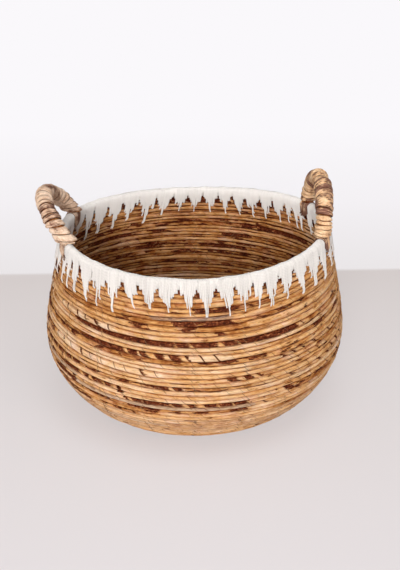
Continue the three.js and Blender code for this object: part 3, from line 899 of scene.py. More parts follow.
WALL_ROPES = 3
ROPE_GAP = 0.0005
LAST_ROPE_SHORT = 0.25
rows_per_rope = (ROWS - BASE_ROWS) // WALL_ROPES
make_rope("rope_start", "start_knot", -0.85, -0.004, tip_turns=0.3)
make_rope("base_rope", "base_coil", 0.0, BASE_ROWS - ROPE_GAP)
for number in range(WALL_ROPES):
    first = BASE_ROWS + number * rows_per_rope
    last = first + rows_per_rope - (LAST_ROPE_SHORT if number == WALL_ROPES - 1 else ROPE_GAP)
    make_rope(f"wall_rope_row_{number + 1}", f"wall_rope_{number + 1}", first, last)

# %% [markdown]
# ## Rim
# A hoop of the same rope lies on the top row and gives the rim its roll. The yarn hides nearly all of it. A
# torus is the plain way to make it, and its points are then lifted to the rim's tilt and dips.

# %% Rim hoop
bpy.ops.object.select_all(action="DESELECT")
bpy.ops.mesh.primitive_torus_add(
    location=(0.0, 0.0, hoop_height * MM), major_radius=hoop_path * MM, minor_radius=HOOP_RADIUS * MM,
    major_segments=240, minor_segments=12)
hoop = bpy.context.object
hoop.name = "rim_rope_hoop"
bpy.ops.object.transform_apply(location=True, rotation=True, scale=True)
points = np.array([vertex.co for vertex in hoop.data.vertices]) / MM
radius = np.hypot(points[:, 0], points[:, 1])
angle = np.arctan2(points[:, 1], points[:, 0])
hoop.data.vertices.foreach_set("co", (round_basket(radius, points[:, 2], angle) * MM).ravel())

# The torus has a UV map from 0 to 1, and the rope's material wants U in metres
hoop.data.uv_layers[0].name = "lay"
layer = hoop.data.uv_layers["lay"].uv
values = np.zeros(len(hoop.data.loops) * 2, np.float32)
layer.foreach_get("vector", values)
values[0::2] *= 2 * math.pi * hoop_path * MM
layer.foreach_set("vector", values)
attribute = hoop.data.attributes.new("makeup", "FLOAT_COLOR", "POINT")
attribute.data.foreach_set("color", np.tile(STRETCH_KINDS["golden"][:4], len(points)).astype(np.float32))
bpy.ops.object.shade_smooth()
hoop.data.materials.append(rope_material)
seat(hoop, "abaca_rope", "rim_hoop")
print(hoop.name, "has", len(hoop.data.polygons), "faces")

# %% [markdown]
# ## Cotton yarn
# White cotton yarn, about 2 mm thick, is whipped over the rim. Every stitch comes out of the wall, goes over
# the hoop and back in on the other side, and the stitches lie side by side, rippling a little over the rim.
# Their depths step down to a point and up again, which draws the teeth, and some stitches stop short. The
# middle stitch of a tooth hangs lower as a thin tail. Cotton is matt and soft: high roughness, a little
# sheen, and a bump for the two plies that are twisted together, with painted shade in the grooves between
# them. In this light the yarn inside would look too grey, so its colour is lifted towards pale from the rim
# inwards.

# %% Yarn material
PLY_PITCH = 3.4 * MM
FLUFF_SIZE = 1 / 900  # 1.1 mm
YARN_PATCH_SIZE = 1 / 40  # 25 mm
INSIDE_LIFT = 0.62


def make_yarn_material():
    material, add = new_material("plied_cotton_yarn")
    along, around, tone, inside, _, _ = read_strand(add)
    plies = add("Math", along, 1 / PLY_PITCH, around, operation="MULTIPLY_ADD")
    height = add("Math", plies, 0.5, operation="PINGPONG")
    place = add("TexCoord").outputs["Object"]
    fluff = add("TexNoise", inputs={"Vector": place, "Scale": 1 / FLUFF_SIZE, "Detail": 2.0})
    patch = add("TexNoise", inputs={"Vector": place, "Scale": 1 / YARN_PATCH_SIZE, "Detail": 1.0})
    level = add("Math", tone, 0.3, 0.3, operation="MULTIPLY_ADD")
    level = add("Math", patch, 0.4, level, operation="MULTIPLY_ADD")
    # Painted shade: the yarn is darker in the grooves between the plies
    level = add("Math", height, 0.4, level, operation="MULTIPLY_ADD")
    white = set_ramp(add("ValToRGB", level), [(0.3, "#bab4ae"), (0.65, "#d0cac4"), (1.0, "#dcd6d0")])
    lift = add("Math", inside, INSIDE_LIFT, operation="MULTIPLY")
    lifted = add("Mix", lift, inputs={6: white, 7: colour("#f4efea")}, data_type="RGBA")
    relief = add("Math", fluff, 0.35, height, operation="MULTIPLY_ADD")
    bump = add("Bump", inputs={"Height": relief, "Strength": 0.35, "Distance": 0.4 * MM})
    shader = add("BsdfPrincipled", inputs={
        "Base Color": lifted, "Roughness": 0.92, "Normal": bump, "Sheen Weight": 0.4, "Sheen Roughness": 0.5})
    add("OutputMaterial", shader)
    return material


yarn_material = make_yarn_material()
print("yarn material has", len(yarn_material.node_tree.nodes), "nodes")

# %% [markdown]
# The teeth that the photograph shows were measured one by one. Those of the short runs, behind the handles,
# are even ones.

# %% Teeth
FEET = {
    "left_front": math.radians(202.0), "right_front": math.radians(338.0),
    "right_back": math.radians(384.5), "left_back": math.radians(524.0),
}
EVEN_TOOTH_DEPTH = 48.0

# Each tooth: where it starts and where its tip hangs, in degrees round the basket, and how deep the tip is
FRONT_TEETH = [
    (202.0, 205.5, 51), (207.8, 210.6, 51), (212.6, 216.6, 50), (218.8, 224.6, 51), (226.8, 230.8, 51),
    (233.7, 238.4, 51), (241.2, 246.9, 40), (247.9, 252.8, 39), (256.1, 260.4, 40), (264.2, 268.5, 43),
    (270.9, 274.9, 45), (277.8, 283.2, 46), (284.9, 289.1, 44), (292.2, 295.1, 44), (296.6, 300.3, 46),
    (303.6, 307.1, 44), (311.2, 316.1, 47), (319.1, 324.2, 48), (329.1, 332.0, 50),
]
BACK_TEETH = [
    (384.5, 389.7, 48), (391.0, 392.7, 48), (395.5, 399.2, 43), (399.9, 405.1, 47), (408.0, 413.0, 46),
    (416.2, 420.1, 45), (424.1, 427.2, 44), (430.9, 434.9, 43), (438.3, 442.3, 42), (445.3, 450.6, 40),
    (452.6, 458.0, 39), (460.2, 466.8, 45), (468.4, 475.3, 55), (478.4, 484.6, 45), (488.0, 492.8, 54),
    (497.2, 501.9, 54), (507.0, 510.6, 57), (514.0, 519.9, 41),
]


def even_teeth(start, end, amount, seed):
    draw = np.random.default_rng(seed)
    width = math.degrees(end - start) / amount
    edges = math.degrees(start) + width * np.arange(amount)
    return [(edge, edge + width * draw.uniform(0.45, 0.65), EVEN_TOOTH_DEPTH + draw.uniform(-4, 4))
            for edge in edges]


full_turn = 2 * math.pi
right_teeth = even_teeth(FEET["right_front"], FEET["right_back"], 6, 4)
left_teeth = even_teeth(FEET["left_back"], FEET["left_front"] + full_turn, 5, 9)
print("teeth:", len(FRONT_TEETH), len(right_teeth), len(BACK_TEETH), len(left_teeth))

# %% [markdown]
# One toothed sheet would be quicker, as in the CAD model, but single strands show all over the rim. So each
# stitch is a tube of its own, from its point outside over the hoop to its point inside. It leans towards the
# tip of its tooth on the way down.

# %% Path over the rim
YARN_RADIUS = 1.15
WALL_POINTS = 8
HOOP_POINTS = 7
END_TUCK = 2.6


def over_rim(depth_outside, depth_inside, lift):
    """Path over the rim as radius and height, from a place outside the wall to one inside."""
    down_outside = np.linspace(depth_outside - RIM_BUILD, HOOP_RADIUS + 1.0, WALL_POINTS)
    down_inside = np.linspace(HOOP_RADIUS + 1.0, depth_inside - RIM_BUILD, WALL_POINTS)
    turns = np.linspace(0.12, 0.88, HOOP_POINTS) * math.pi
    skin = ROPE_HALF + lift
    tuck = np.array([END_TUCK] + [0.0] * (WALL_POINTS - 1))
    outside = wall_point(outline_length - down_outside, skin - tuck)
    inside = wall_point(outline_length - down_inside, -skin + tuck[::-1])
    reach = HOOP_RADIUS + lift
    radius = np.concatenate([outside[0], hoop_path + reach * np.cos(turns), inside[0]])
    height = np.concatenate([outside[1], hoop_height + reach * np.sin(turns), inside[1]])
    return radius, height


deep_stitch = np.stack(over_rim(50.0, 50.0, YARN_RADIUS), axis=-1)
print("a stitch at the tip of a tooth is about", round(float(lengths_along(deep_stitch)[-1])), "mm long")

# %% [markdown]
# A stitch's depth follows from its place in the tooth, with some chance. The few in the middle hang lowest,
# and the depths get less towards the tooth's edge, in the shares that the photograph shows.

# %% Depth and lean of a stitch
TOOTH_TOP = 11.0
LEAST_DEPTH = TOOTH_TOP - 2.0
SHORT_SHARE = 0.6

# Share of the way from a tooth's middle to its edge, and how far down the stitches there reach
REACH_PLACES = [0.0, 0.11, 0.14, 0.42, 0.62, 0.82, 0.94, 1.0]
REACH_SHARES = [1.0, 1.0, 0.72, 0.62, 0.42, 0.16, 0.0, -0.06]


def stitch_depths(place, tip_depth, chance):
    """How deep a stitch reaches outside and inside, by its place from a tooth's middle, 0, to its edge, 1."""
    place = place + 0.15 * chance[0] * min(1.0, 4.0 * place)
    share = float(np.interp(place, REACH_PLACES, REACH_SHARES))
    if chance[7] > 0.5 and share < 0.99:
        share = share * SHORT_SHARE
    depth = TOOTH_TOP + (tip_depth - TOOTH_TOP) * share
    raggedness = 0.6 if share > 0.99 or share < 0.05 else 2.4
    return [max(LEAST_DEPTH, depth + raggedness * chance[side]) for side in (1, 2)]


def lean_to_tip(below, angle, middle, tip, chance):
    """The angle of each point of a stitch: it drifts to the tip, draws in to the middle and wobbles."""
    drift = (tip - middle) * below + 0.22 * (middle - angle) * below ** 2
    wobble = (0.9 * chance[4] + 0.6 * np.sin(3.0 * chance[5] + 5.0 * below)) * below ** 1.5 / hoop_path
    return angle + drift + wobble


print("depths from the middle of a tooth to its edge:",
      [round(stitch_depths(place, 50.0, np.zeros(8))[0]) for place in REACH_PLACES], "mm")

# %% [markdown]
# Each run of yarn goes from one handle foot to the next, stitch by stitch. It is pressed flat under the
# lashings and ripples over the rim elsewhere. Every stitch starts its twist anew, so that no two look alike.

# %% Runs of yarn
STITCH_PITCH = 1.95
LASHING_WIDTH = 22.0
RIPPLE_HEIGHT = 0.9
RIPPLE_LENGTH = 12.0
PLY_SHIFT = 11 * MM
SIDES_OF_YARN = 6
lashing_half = LASHING_WIDTH / 2 / hoop_path


def make_yarn(name, node, from_foot, to_foot, teeth):
    draw = np.random.default_rng(len(name) * 7 + len(teeth))
    edges = np.radians([tooth[0] for tooth in teeth] + [math.degrees(to_foot)])
    stitches = int((to_foot - from_foot) * hoop_path / STITCH_PITCH)
    strands = Strands()
    for stitch in range(stitches):
        angle = from_foot + (to_foot - from_foot) * (stitch + 0.5) / stitches
        chance = draw.uniform(-1.0, 1.0, 8)
        tooth = int(np.clip(np.searchsorted(edges, angle, side="right") - 1, 0, len(teeth) - 1))
        tip_angle, tip_depth = math.radians(teeth[tooth][1]), teeth[tooth][2]
        middle = (edges[tooth] + edges[tooth + 1]) / 2
        half = (edges[tooth + 1] - edges[tooth]) / 2
        outside, inside = stitch_depths(abs(angle - middle) / half, tip_depth, chance)
        pressed = max(0.0, 1.0 - min(angle - from_foot, to_foot - angle) / lashing_half)
        size = YARN_RADIUS * (1 - 0.2 * pressed + 0.07 * chance[3])
        wave = max(0.0, float(wander(2.0 + stitch * STITCH_PITCH, RIPPLE_LENGTH, len(name))))
        radius, height = over_rim(outside, inside, size + RIPPLE_HEIGHT * (1 - pressed) * wave)
        below = np.clip((hoop_height - height) / (tip_depth - RIM_BUILD), 0.0, 1.2)
        points = round_basket(radius, height, lean_to_tip(below, angle, middle, tip_angle, chance))
        thinned = size * (1 - 0.3 * np.clip(below * 1.8 - 0.3, 0.0, 1.0))
        rings = tube(points, thinned, SIDES_OF_YARN)
        makeup = np.tile([0.5 + 0.5 * chance[6], 0.0, 0.0, 1.0], (len(rings), 1))
        makeup[:, 1] = np.clip((np.arange(len(rings)) - WALL_POINTS) / HOOP_POINTS, 0.0, 1.0)
        strands.add(rings, lengths_along(points) * MM + stitch * PLY_SHIFT, makeup)
    seat(strands.build(name, yarn_material), "cotton_yarn", node)
    return stitches


stitch_counts = [
    make_yarn("yarn_teeth_front", "yarn_front", FEET["left_front"], FEET["right_front"], FRONT_TEETH),
    make_yarn("yarn_teeth_right", "yarn_right", FEET["right_front"], FEET["right_back"], right_teeth),
    make_yarn("yarn_teeth_back", "yarn_back", FEET["right_back"], FEET["left_back"], BACK_TEETH),
    make_yarn("yarn_teeth_left", "yarn_left", FEET["left_back"], FEET["left_front"] + full_turn, left_teeth),
]
print("stitches, front, right, back and left:", stitch_counts)

# %% [markdown]
# ## Bark strip
# The handles and their ties are flat strips of banana bark, 4 to 18 mm wide on the handles and 2 to 5 mm in
# the ties. Bark is tougher and smoother than the rope. It has long fine lines, creases across where it
# bends, painted shade along the edges of the strips, where they meet in grooves, and a dull shine. The left
# handle is pale beige, the right one golden with dark purple-brown turns. One material serves both, with its
# own colours for each.

# %% Bark material
BARK_LINE_LENGTH = 1 / 60  # 17 mm
BARK_LINES_ROUND = 26.0
CREASE_LENGTH = 1 / 380  # 2.6 mm
BARK_PATCH_SIZE = 1 / 85  # 12 mm
DARK_BARK = [(0.35, "#3a1c14"), (0.5, "#7a4c3a"), (0.65, "#b88c74")]


def make_bark_material(name, light, middle, deep, rough):
    material, add = new_material(name)
    along, around, tone, dark, grain, _ = read_strand(add)
    lines = drawn_out_noise(add, along, around, BARK_LINE_LENGTH, BARK_LINES_ROUND, grain, 3.0)
    creases = drawn_out_noise(add, along, around, CREASE_LENGTH, 5.0, grain)
    place = add("TexCoord").outputs["Object"]
    patch = add("TexNoise", inputs={"Vector": place, "Scale": 1 / BARK_PATCH_SIZE, "Detail": 3.0})
    level = add_marks(add, tone, (lines, 1.2), (creases, 0.8), (patch, 1.0))
    skin = set_ramp(add("ValToRGB", level), [(0.1, deep), (0.5, middle), (0.9, light)])

    # Purple-brown bark covers as much of a strip as its makeup says, in streaks along it
    cover = add("Math", lines, 1.6, -1.3, operation="MULTIPLY_ADD")
    cover = add("Math", patch, 2.0, cover, operation="MULTIPLY_ADD")
    above = add("Math", dark, cover, operation="SUBTRACT")
    is_dark = add("MapRange", above, -0.09, 0.09, **SOFT)
    purple = set_ramp(add("ValToRGB", lines), DARK_BARK)
    skin = add("Mix", is_dark, inputs={6: skin, 7: purple}, data_type="RGBA")

    # Painted shade darkens a strip's edges, where the grooves lie. Its face is V 0 to 2/3, its underside the
    # rest
    face = add("MapRange", around, inputs={"From Max": 2 / 3})
    from_middle = add("Math", face, 0.5, operation="SUBTRACT")
    from_middle = add("Math", from_middle, operation="ABSOLUTE")
    to_edge = add("Math", from_middle, 2.0, operation="MULTIPLY")
    to_edge = add_marks(add, to_edge, (creases, 0.35))
    edge = add("MapRange", to_edge, 0.68, 1.0, 0.0, 0.95, **SOFT)
    skin = add("Mix", edge, inputs={6: skin, 7: colour("#2a130b")}, data_type="RGBA")
    relief = add("Math", creases, 1.1, lines, operation="MULTIPLY_ADD")
    bump = add("Bump", inputs={"Height": relief, "Strength": 0.85, "Distance": 0.9 * MM})
    shader = add("BsdfPrincipled", inputs={
        "Base Color": skin, "Roughness": rough, "Normal": bump, "Specular IOR Level": 0.3})
    add("OutputMaterial", shader)
    return material


pale_bark = make_bark_material("pale_banana_bark", "#f3dac2", "#d1ac8e", "#8c6146", 0.7)
golden_bark = make_bark_material("golden_banana_bark", "#fadab2", "#dcab7d", "#955f3d", 0.62)
print("bark materials:", pale_bark.name, golden_bark.name)

# %% [markdown]
# ## Handles
# Each handle is a rope core, about 17 mm thick, bent to half an ellipse that stands on the rim. A strip of
# bark is wound round it from foot to foot, in 19 turns on the left and 22 on the right. The right arch
# stands nearly upright, and the left one leans well outwards. A bevelled curve could draw the core, but the
# strip has to lie on it turn by turn. So one function gives the place of any point by its distance along the
# arch, its turn round it and its distance from the middle, and core and strip both use it.

# %% Handle arch
ARCH_HEIGHT = 51.0
FOOT_BLEND_LENGTH = 32.0
TIE_THICKNESS = 2.4
seat_height = hoop_height + HOOP_RADIUS + 0.5 + TIE_THICKNESS + 0.3
LEVEL = np.array([1.0, 1.0, 0.0])
HANDLES = {
    "right": {"front": FEET["right_front"], "back": FEET["right_back"], "lean": math.radians(5.0)},
    "left": {"front": FEET["left_front"], "back": FEET["left_back"], "lean": math.radians(36.0)},
}


class Arch:
    """The handle's curve, and points on a tube round it."""

    def __init__(self, front, back, lean):
        front_foot = round_basket(hoop_path, seat_height, front)
        back_foot = round_basket(hoop_path, seat_height, back)
        self.middle = (front_foot + back_foot) / 2
        self.half_chord = (back_foot - front_foot) / 2
        flat_chord = self.half_chord * LEVEL
        outward = self.middle * LEVEL
        outward = outward - flat_chord * (outward @ flat_chord) / (flat_chord @ flat_chord)
        outward /= np.linalg.norm(outward)
        direction = np.array([0.0, 0.0, math.cos(lean)]) + outward * math.sin(lean)
        self.rise = direction * ARCH_HEIGHT
        self.square = np.cross(self.half_chord, direction)
        self.square /= np.linalg.norm(self.square)
        self.turn_table = np.linspace(0.0, math.pi, 600)
        self.length_table = lengths_along(self.centre(self.turn_table[:, None]))
        self.length = self.length_table[-1]

    def centre(self, turn):
        return self.middle - np.cos(turn) * self.half_chord + np.sin(turn) * self.rise

    def place(self, distance, turn, radius):
        """A point on the tube. Near a foot the section swings round to lie level on the rim."""
        distance, turn, radius = np.broadcast_arrays(
            np.asarray(distance, float), np.asarray(turn, float), np.asarray(radius, float))
        arch_turn = np.interp(distance, self.length_table, self.turn_table)[..., None]
        along = np.sin(arch_turn) * self.half_chord + np.cos(arch_turn) * self.rise
        along /= np.linalg.norm(along, axis=-1)[..., None]
        in_plane = np.cross(np.broadcast_to(self.square, along.shape), along)
        out = (np.cos(turn)[..., None] * self.square + np.sin(turn)[..., None] * in_plane) * radius[..., None]
        from_foot = np.minimum(distance, self.length - distance)
        swing = np.clip(1 - from_foot / FOOT_BLEND_LENGTH, 0.0, 1.0)[..., None]
        near_front = (distance < self.length / 2)[..., None]
        foot = np.where(near_front, self.middle - self.half_chord, self.middle + self.half_chord) + out
        foot_along = np.where(near_front, self.rise, -self.rise) / ARCH_HEIGHT
        foot_radius, foot_angle = np.hypot(foot[..., 0], foot[..., 1]), np.arctan2(foot[..., 1], foot[..., 0])
        seat_z = round_basket(foot_radius, seat_height, foot_angle)[..., 2]
        level = ((seat_z - foot[..., 2]) / foot_along[..., 2])[..., None]
        return self.centre(arch_turn) + out + along * level * swing


arches = {side: Arch(**sizes) for side, sizes in HANDLES.items()}
print("handle lengths:", {side: round(float(arch.length), 1) for side, arch in arches.items()}, "mm")

# %% Handle cores
CORE_RADIUS = 8.4
CORE_STEPS = 80
CORE_POINTS = 16
CORD_TURN_LENGTH = 26.0


def make_core(side):
    arch = arches[side]
    distance = np.linspace(0.0, arch.length, CORE_STEPS)
    around = np.arange(CORE_POINTS) * 2 * math.pi / CORE_POINTS
    cords = 0.35 * np.cos(4 * (around[None, :] - distance[:, None] / CORD_TURN_LENGTH * 2 * math.pi))
    rings = arch.place(distance[:, None], around[None, :], CORE_RADIUS + cords)
    strands = Strands()
    strands.add(rings, distance * MM, np.tile(STRETCH_KINDS["brown"][:4], (CORE_STEPS, 1)))
    seat(strands.build(f"handle_rope_{side}", rope_material), "abaca_rope", f"handle_core_{side}")


make_core("right")
make_core("left")

# %% [markdown]
# The strip's turns are uneven, and each was read off the photograph: how wide it shows, how pale and how
# dark-skinned it is. Over the upper half of the right handle's front leg, dark strips cross the others the
# opposite way.

# %% Turns of the strips
# From the front foot over the top to the back foot: width, tone and share of dark bark of each turn
LEFT_TURNS = [
    (9, 0.66, 0.1), (9.5, 0.7, 0.05), (8, 0.6, 0.2), (6, 0.5, 0.4), (7, 0.4, 0.45), (8, 0.45, 0.35),
    (5, 0.5, 0.4), (7, 0.55, 0.2), (8, 0.6, 0.1), (17, 0.64, 0.15), (13, 0.6, 0.2), (10, 0.38, 0.4),
    (8, 0.44, 0.35), (7, 0.5, 0.2), (7, 0.55, 0.2), (7, 0.55, 0.1), (7, 0.5, 0.2), (6.5, 0.42, 0.4),
    (6.5, 0.4, 0.45),
]
RIGHT_TURNS = [
    (3.6, 0.6, 0.15), (3.8, 0.65, 0.1), (4, 0.62, 0.15), (4, 0.6, 0.1), (4.4, 0.66, 0.05), (6, 0.7, 0.0),
    (8, 0.5, 0.6), (10, 0.45, 0.6), (8, 0.5, 0.5), (10, 0.42, 0.7), (9, 0.5, 0.45), (12, 0.5, 0.35),
    (15, 0.55, 0.25), (13, 0.5, 0.3), (10, 0.4, 0.5), (8, 0.35, 0.85), (7, 0.58, 0.15), (6, 0.6, 0.2),
    (6, 0.62, 0.15), (6, 0.65, 0.1), (5, 0.6, 0.2), (5, 0.5, 0.5),
]

# Distance and turn where each one starts and ends, its width, its tone and its share of dark bark
CROSSING_STRIPS = [
    (36.0, 50.0, 0.85, -0.35, 12.0, 0.5, 0.55), (47.0, 57.0, 0.9, -0.3, 8.0, 0.6, 0.3),
    (53.0, 68.0, 0.8, -0.35, 9.0, 0.4, 0.8), (66.0, 80.0, 0.75, -0.3, 8.0, 0.5, 0.5),
]
print("turns of strip, left and right:", len(LEFT_TURNS), len(RIGHT_TURNS))

# %% [markdown]
# The strip is one ribbon with an arched section and a thin underside, wound in a screw line. The turns
# overlap like roof shingles, with the lower edge of each standing proud, so dark grooves run between them.
# The strip's edges stray a little, and its skin wrinkles.

# %% Wound strip
WRAP_STEPS = 36
CROWN = 1.7
SHINGLE = 1.3
STRAY_LIFT = 0.7
WRINKLE = 0.5
EDGE_TRIM = 0.35
LEAST_WIDTH = 0.8
BED_GAP = 0.35

# Across the strip and up from its bed: nine points over its face, three under it
STRIP_SECTION = np.array([
    (0.0, 0.0), (0.06, 0.5), (0.16, 0.85), (0.33, 1.0), (0.52, 1.0), (0.72, 0.93), (0.87, 0.75), (0.96, 0.4),
    (1.0, 0.0), (0.8, -0.2), (0.5, -0.2), (0.2, -0.2),
])
MIDDLE_OF_FACE = 4
across_strip, up_strip = STRIP_SECTION.T


def strip_edges(arch, turn_list, seed):
    """Lower and upper edge of the strip along the arch, at every small step of its turns."""
    widths = [turn[0] for turn in turn_list] + [8.0]
    starts = np.concatenate([[0.0], np.cumsum(widths)])
    starts = starts / starts[len(turn_list)] * arch.length
    place = np.arange(0, len(turn_list) * WRAP_STEPS + 1) / WRAP_STEPS
    low = np.interp(place - 1.0, np.arange(len(starts)), starts)
    high = np.minimum(np.interp(place, np.arange(len(starts)), starts), arch.length)
    trim = EDGE_TRIM + 0.5 * wander(place * 10 + 5, 1.7, seed + 3)
    low = np.where(place < 1.0, 0.0, low + trim)
    high = high - EDGE_TRIM + 0.6 * wander(place * 10 + 5, 1.3, seed + 4)
    wide = high - low > LEAST_WIDTH
    return place[wide], low[wide], high[wide]


def wind_strip(arch, turn_list, seed):
    draw = np.random.default_rng(seed)
    turns = len(turn_list)
    place, low, high = strip_edges(arch, turn_list, seed)
    distance = np.clip(low[:, None] + (high - low)[:, None] * across_strip, 0.0, arch.length)
    from_top = np.cos(math.pi * distance / arch.length)
    lift = np.array([draw.uniform(-0.5, 0.9) for turn in range(turns + 1)])
    lift = np.interp(place - 0.5, np.arange(turns + 1), lift)[:, None]
    stray = STRAY_LIFT * wander(distance + 3.0, 13.0, seed + 1)
    proud = SHINGLE * from_top * (0.5 - across_strip) + lift + stray
    wrinkle = WRINKLE * wander(place * 60 + 9, 4.0, seed + 2)[:, None] * np.sin(across_strip * 9.0)
    bed = CORE_RADIUS + BED_GAP
    radius = bed + (CROWN + proud + wrinkle) * np.maximum(up_strip, 0.0) + 0.4 * np.minimum(up_strip, 0.0)
    rings = arch.place(distance, (2 * math.pi * place)[:, None], np.maximum(radius, bed - 0.1))
    looks = np.array([(tone, dark, grain_start, 0.0)
                      for (_, tone, dark), grain_start in zip(turn_list, draw.uniform(0.0, 9.0, turns))])
    makeup = looks[np.clip(place.astype(int), 0, turns - 1)]
    return rings, lengths_along(rings[:, MIDDLE_OF_FACE]) * MM, makeup


print("rings along the left strip:", len(strip_edges(arches["left"], LEFT_TURNS, 41)[0]))

# %% [markdown]
# The crossing strips are short lengths of the same ribbon that taper at both ends. They are wound in with the
# right handle's strip, so they belong to its piece.

# %% Strips on both handles
CROSSING_STEPS = 40


def crossing_strip(arch, start, end, from_turn, to_turn, width, tone, dark):
    share = np.linspace(0.0, 1.0, CROSSING_STEPS)[:, None]
    taper = np.minimum(1.0, 6.0 * np.minimum(share, 1.0 - share) + 0.1)
    distance = start + (end - start) * share + width * taper * (across_strip - 0.5)
    turn = 2 * math.pi * (from_turn + (to_turn - from_turn) * share)
    swell = CROWN + 0.5 * wander(40.0 * share + start, 9.0, 77)
    rings = arch.place(distance, turn, CORE_RADIUS + 1.6 + swell * taper * up_strip)
    makeup = np.tile([tone, dark, 4.0 + start, 0.0], (CROSSING_STEPS, 1))
    return rings, lengths_along(rings[:, MIDDLE_OF_FACE]) * MM, makeup


def make_wrap(side, material, slot, turn_list, seed, crossings=()):
    strands = Strands()
    strands.add(*wind_strip(arches[side], turn_list, seed))
    for crossing in crossings:
        strands.add(*crossing_strip(arches[side], *crossing))
    seat(strands.build(f"bark_wrap_{side}", material), slot, f"handle_wrap_{side}")


make_wrap("left", pale_bark, "bark_strip", LEFT_TURNS, 41)
make_wrap("right", golden_bark, "golden_bark_strip", RIGHT_TURNS, 53, CROSSING_STRIPS)

# %% [markdown]
# ## Lashings
# Each handle foot is tied down by five bark strips side by side. They go over the rim and the yarn there,
# and draw together to a point, outside and inside. Each strip is a thin ribbon swept along the same path
# over the rim as the yarn, wide on top and narrow at its ends.

# %% Lashing strips
LASHING_TIP = 21.0
LASHING_STRIPS = 5
TIP_SHORTER = 4.0
STRAY_TIP = 2.0
POINT_HALF = 1.8
TOP_SPREAD = 7.4
STRIP_TIP_HALF = 0.9
STRIP_SWELL = 1.5
TIP_THICKNESS = 0.6
TOP_THICKENING = 0.8

# How far the outer and inner points hang to one side, how wide the inner stays, and the share of dark bark
LASHING_LOOKS = {
    "left_front": (16.0, 2.0, 0.0, 0.35), "right_front": (0.0, 0.0, 0.0, 0.7),
    "right_back": (4.0, 9.0, 0.7, 0.85), "left_back": (-2.0, -2.0, 0.2, 0.5),
}


def tie_strip(number, foot, looks, chance):
    hang_out, hang_in, open_in, _ = looks
    spread = (number + 0.5) / LASHING_STRIPS * 2 - 1
    tip_out = LASHING_TIP - TIP_SHORTER * abs(spread) + STRAY_TIP * chance[0]
    tip_in = LASHING_TIP + 1.0 - TIP_SHORTER * abs(spread) + STRAY_TIP * chance[1]
    radius, height = over_rim(tip_out, tip_in, 2.5 + 0.6 * (number % 2))
    share = np.linspace(-1.0, 1.0, len(radius))
    closing = (1 - np.clip(np.abs(share) - 0.5, 0.0, 0.5) / 0.5) ** 0.6
    middle = (1 - closing) * np.where(share < 0, hang_out, hang_in)
    closing = np.where(share < 0, closing, np.maximum(closing, open_in))
    side = middle + spread * (POINT_HALF + TOP_SPREAD * closing) + 0.6 * chance[2]
    half_width = STRIP_TIP_HALF + STRIP_SWELL * closing
    thick = TIP_THICKNESS + TOP_THICKENING * closing
    out = np.stack([np.gradient(height), -np.gradient(radius)], -1)
    out /= np.linalg.norm(out, axis=1)[:, None]
    rings = []
    for across, up in STRIP_SECTION:
        shift = (side + (across * 2 - 1) * half_width) / hoop_path
        above = out * (up * thick)[:, None]
        rings.append(round_basket(radius + above[:, 0], height + above[:, 1], foot + shift))
    return np.stack(rings, axis=1)


def make_lashing(name, foot, material, slot, seed):
    draw = np.random.default_rng(seed)
    looks = LASHING_LOOKS[name]
    strands = Strands()
    for number in range(LASHING_STRIPS):
        chance = draw.uniform(-1.0, 1.0, 5)
        rings = tie_strip(number, foot, looks, chance)
        along = lengths_along(rings[:, MIDDLE_OF_FACE]) * MM + number * 0.31
        strip_makeup = [0.5 + 0.15 * chance[3], looks[3] + 0.2 * chance[4], 3.0 * number, 0.0]
        strands.add(rings, along, np.tile(strip_makeup, (len(rings), 1)))
    seat(strands.build(f"bark_tie_{name}", material), slot, f"lashing_{name}")


for seed, (name, foot) in enumerate(FEET.items(), 60):
    bark, slot = (golden_bark, "golden_bark_strip") if name.startswith("right") else (pale_bark, "bark_strip")
    make_lashing(name, foot, bark, slot, seed)

# %% [markdown]
# ## Sewing thread
# Thin brown thread holds each row to the next, in twenty seams that run up the basket. It shows as a short
# slanting stitch on most rows, outside and inside, and a fifth of them hide in the fibre. Each stitch is a
# small loop round its row, with only a few dozen faces.

# %% Thread material
THREAD_PATCH_SIZE = 1 / 160  # 6 mm


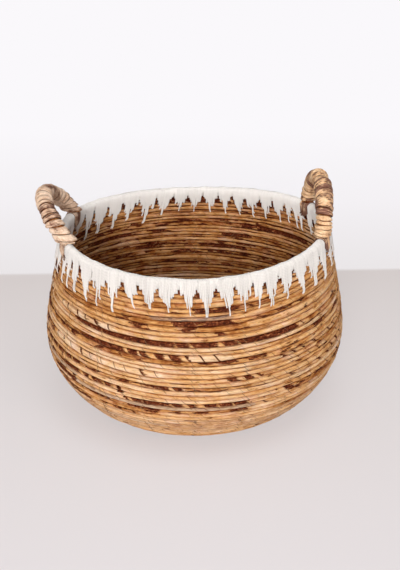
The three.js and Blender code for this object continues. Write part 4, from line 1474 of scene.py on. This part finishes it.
def make_thread_material():
    material, add = new_material("waxed_brown_thread")
    place = add("TexCoord").outputs["Object"]
    patch = add("TexNoise", inputs={"Vector": place, "Scale": 1 / THREAD_PATCH_SIZE, "Detail": 2.0})
    brown = set_ramp(add("ValToRGB", patch), [(0.3, "#5c3a22"), (0.7, "#9c7145")])
    shader = add("BsdfPrincipled", inputs={"Base Color": brown, "Roughness": 0.6})
    add("OutputMaterial", shader)
    return material


thread_material = make_thread_material()
print("thread material has", len(thread_material.node_tree.nodes), "nodes")

# %% Seams
SEAMS = 20
THREAD_RADIUS = 0.3
STITCH_SLANT = 3.0
STITCH_RINGS = 12
FIRST_SEWN_ROW = 6
LEAST_ROW = 3.0
SEAM_STRAY = 3.0
SKIPPED_SHARE = 0.2


def sew_stitch(turn, low, high):
    """A closed loop of points round a row, slanting along it."""
    around = np.arange(STITCH_RINGS) * 2 * math.pi / STITCH_RINGS
    middle, half = (low + high) / 2, (high - low) / 2
    distance = middle + (half + 0.1) * np.sin(around)
    radius, height = wall_point(distance, (ROPE_HALF + 0.15) * np.cos(around))
    slant = -STITCH_SLANT * np.sin(around) / radius
    loop = round_basket(radius, height, 2 * math.pi * turn + slant)
    loop[:, 2] = np.maximum(loop[:, 2], THREAD_RADIUS)
    return np.concatenate([loop, loop[:1]])


def make_seam(number):
    draw = np.random.default_rng(100 + number)
    strands = Strands()
    for row in range(FIRST_SEWN_ROW, ROWS - 1):
        stray = draw.uniform(-SEAM_STRAY, SEAM_STRAY) / (2 * math.pi * float(row_radius(row)))
        turn = row + number / SEAMS + stray
        low = float(row_edge(np.array([turn]))[0])
        high = min(float(row_edge(np.array([turn + 1.0]))[0]), ROW_TOP)
        if high - low < LEAST_ROW or draw.uniform() < SKIPPED_SHARE:
            continue
        loop = sew_stitch(turn, low, high)
        makeup = np.tile([0.5, 0.0, 0.0, 1.0], (len(loop), 1))
        strands.add(tube(loop, THREAD_RADIUS, 4), lengths_along(loop) * MM, makeup)
    seam = f"seam_{number + 1:02d}"
    seat(strands.build("thread_" + seam, thread_material), "sewing_thread", seam)


for number in range(SEAMS):
    make_seam(number)
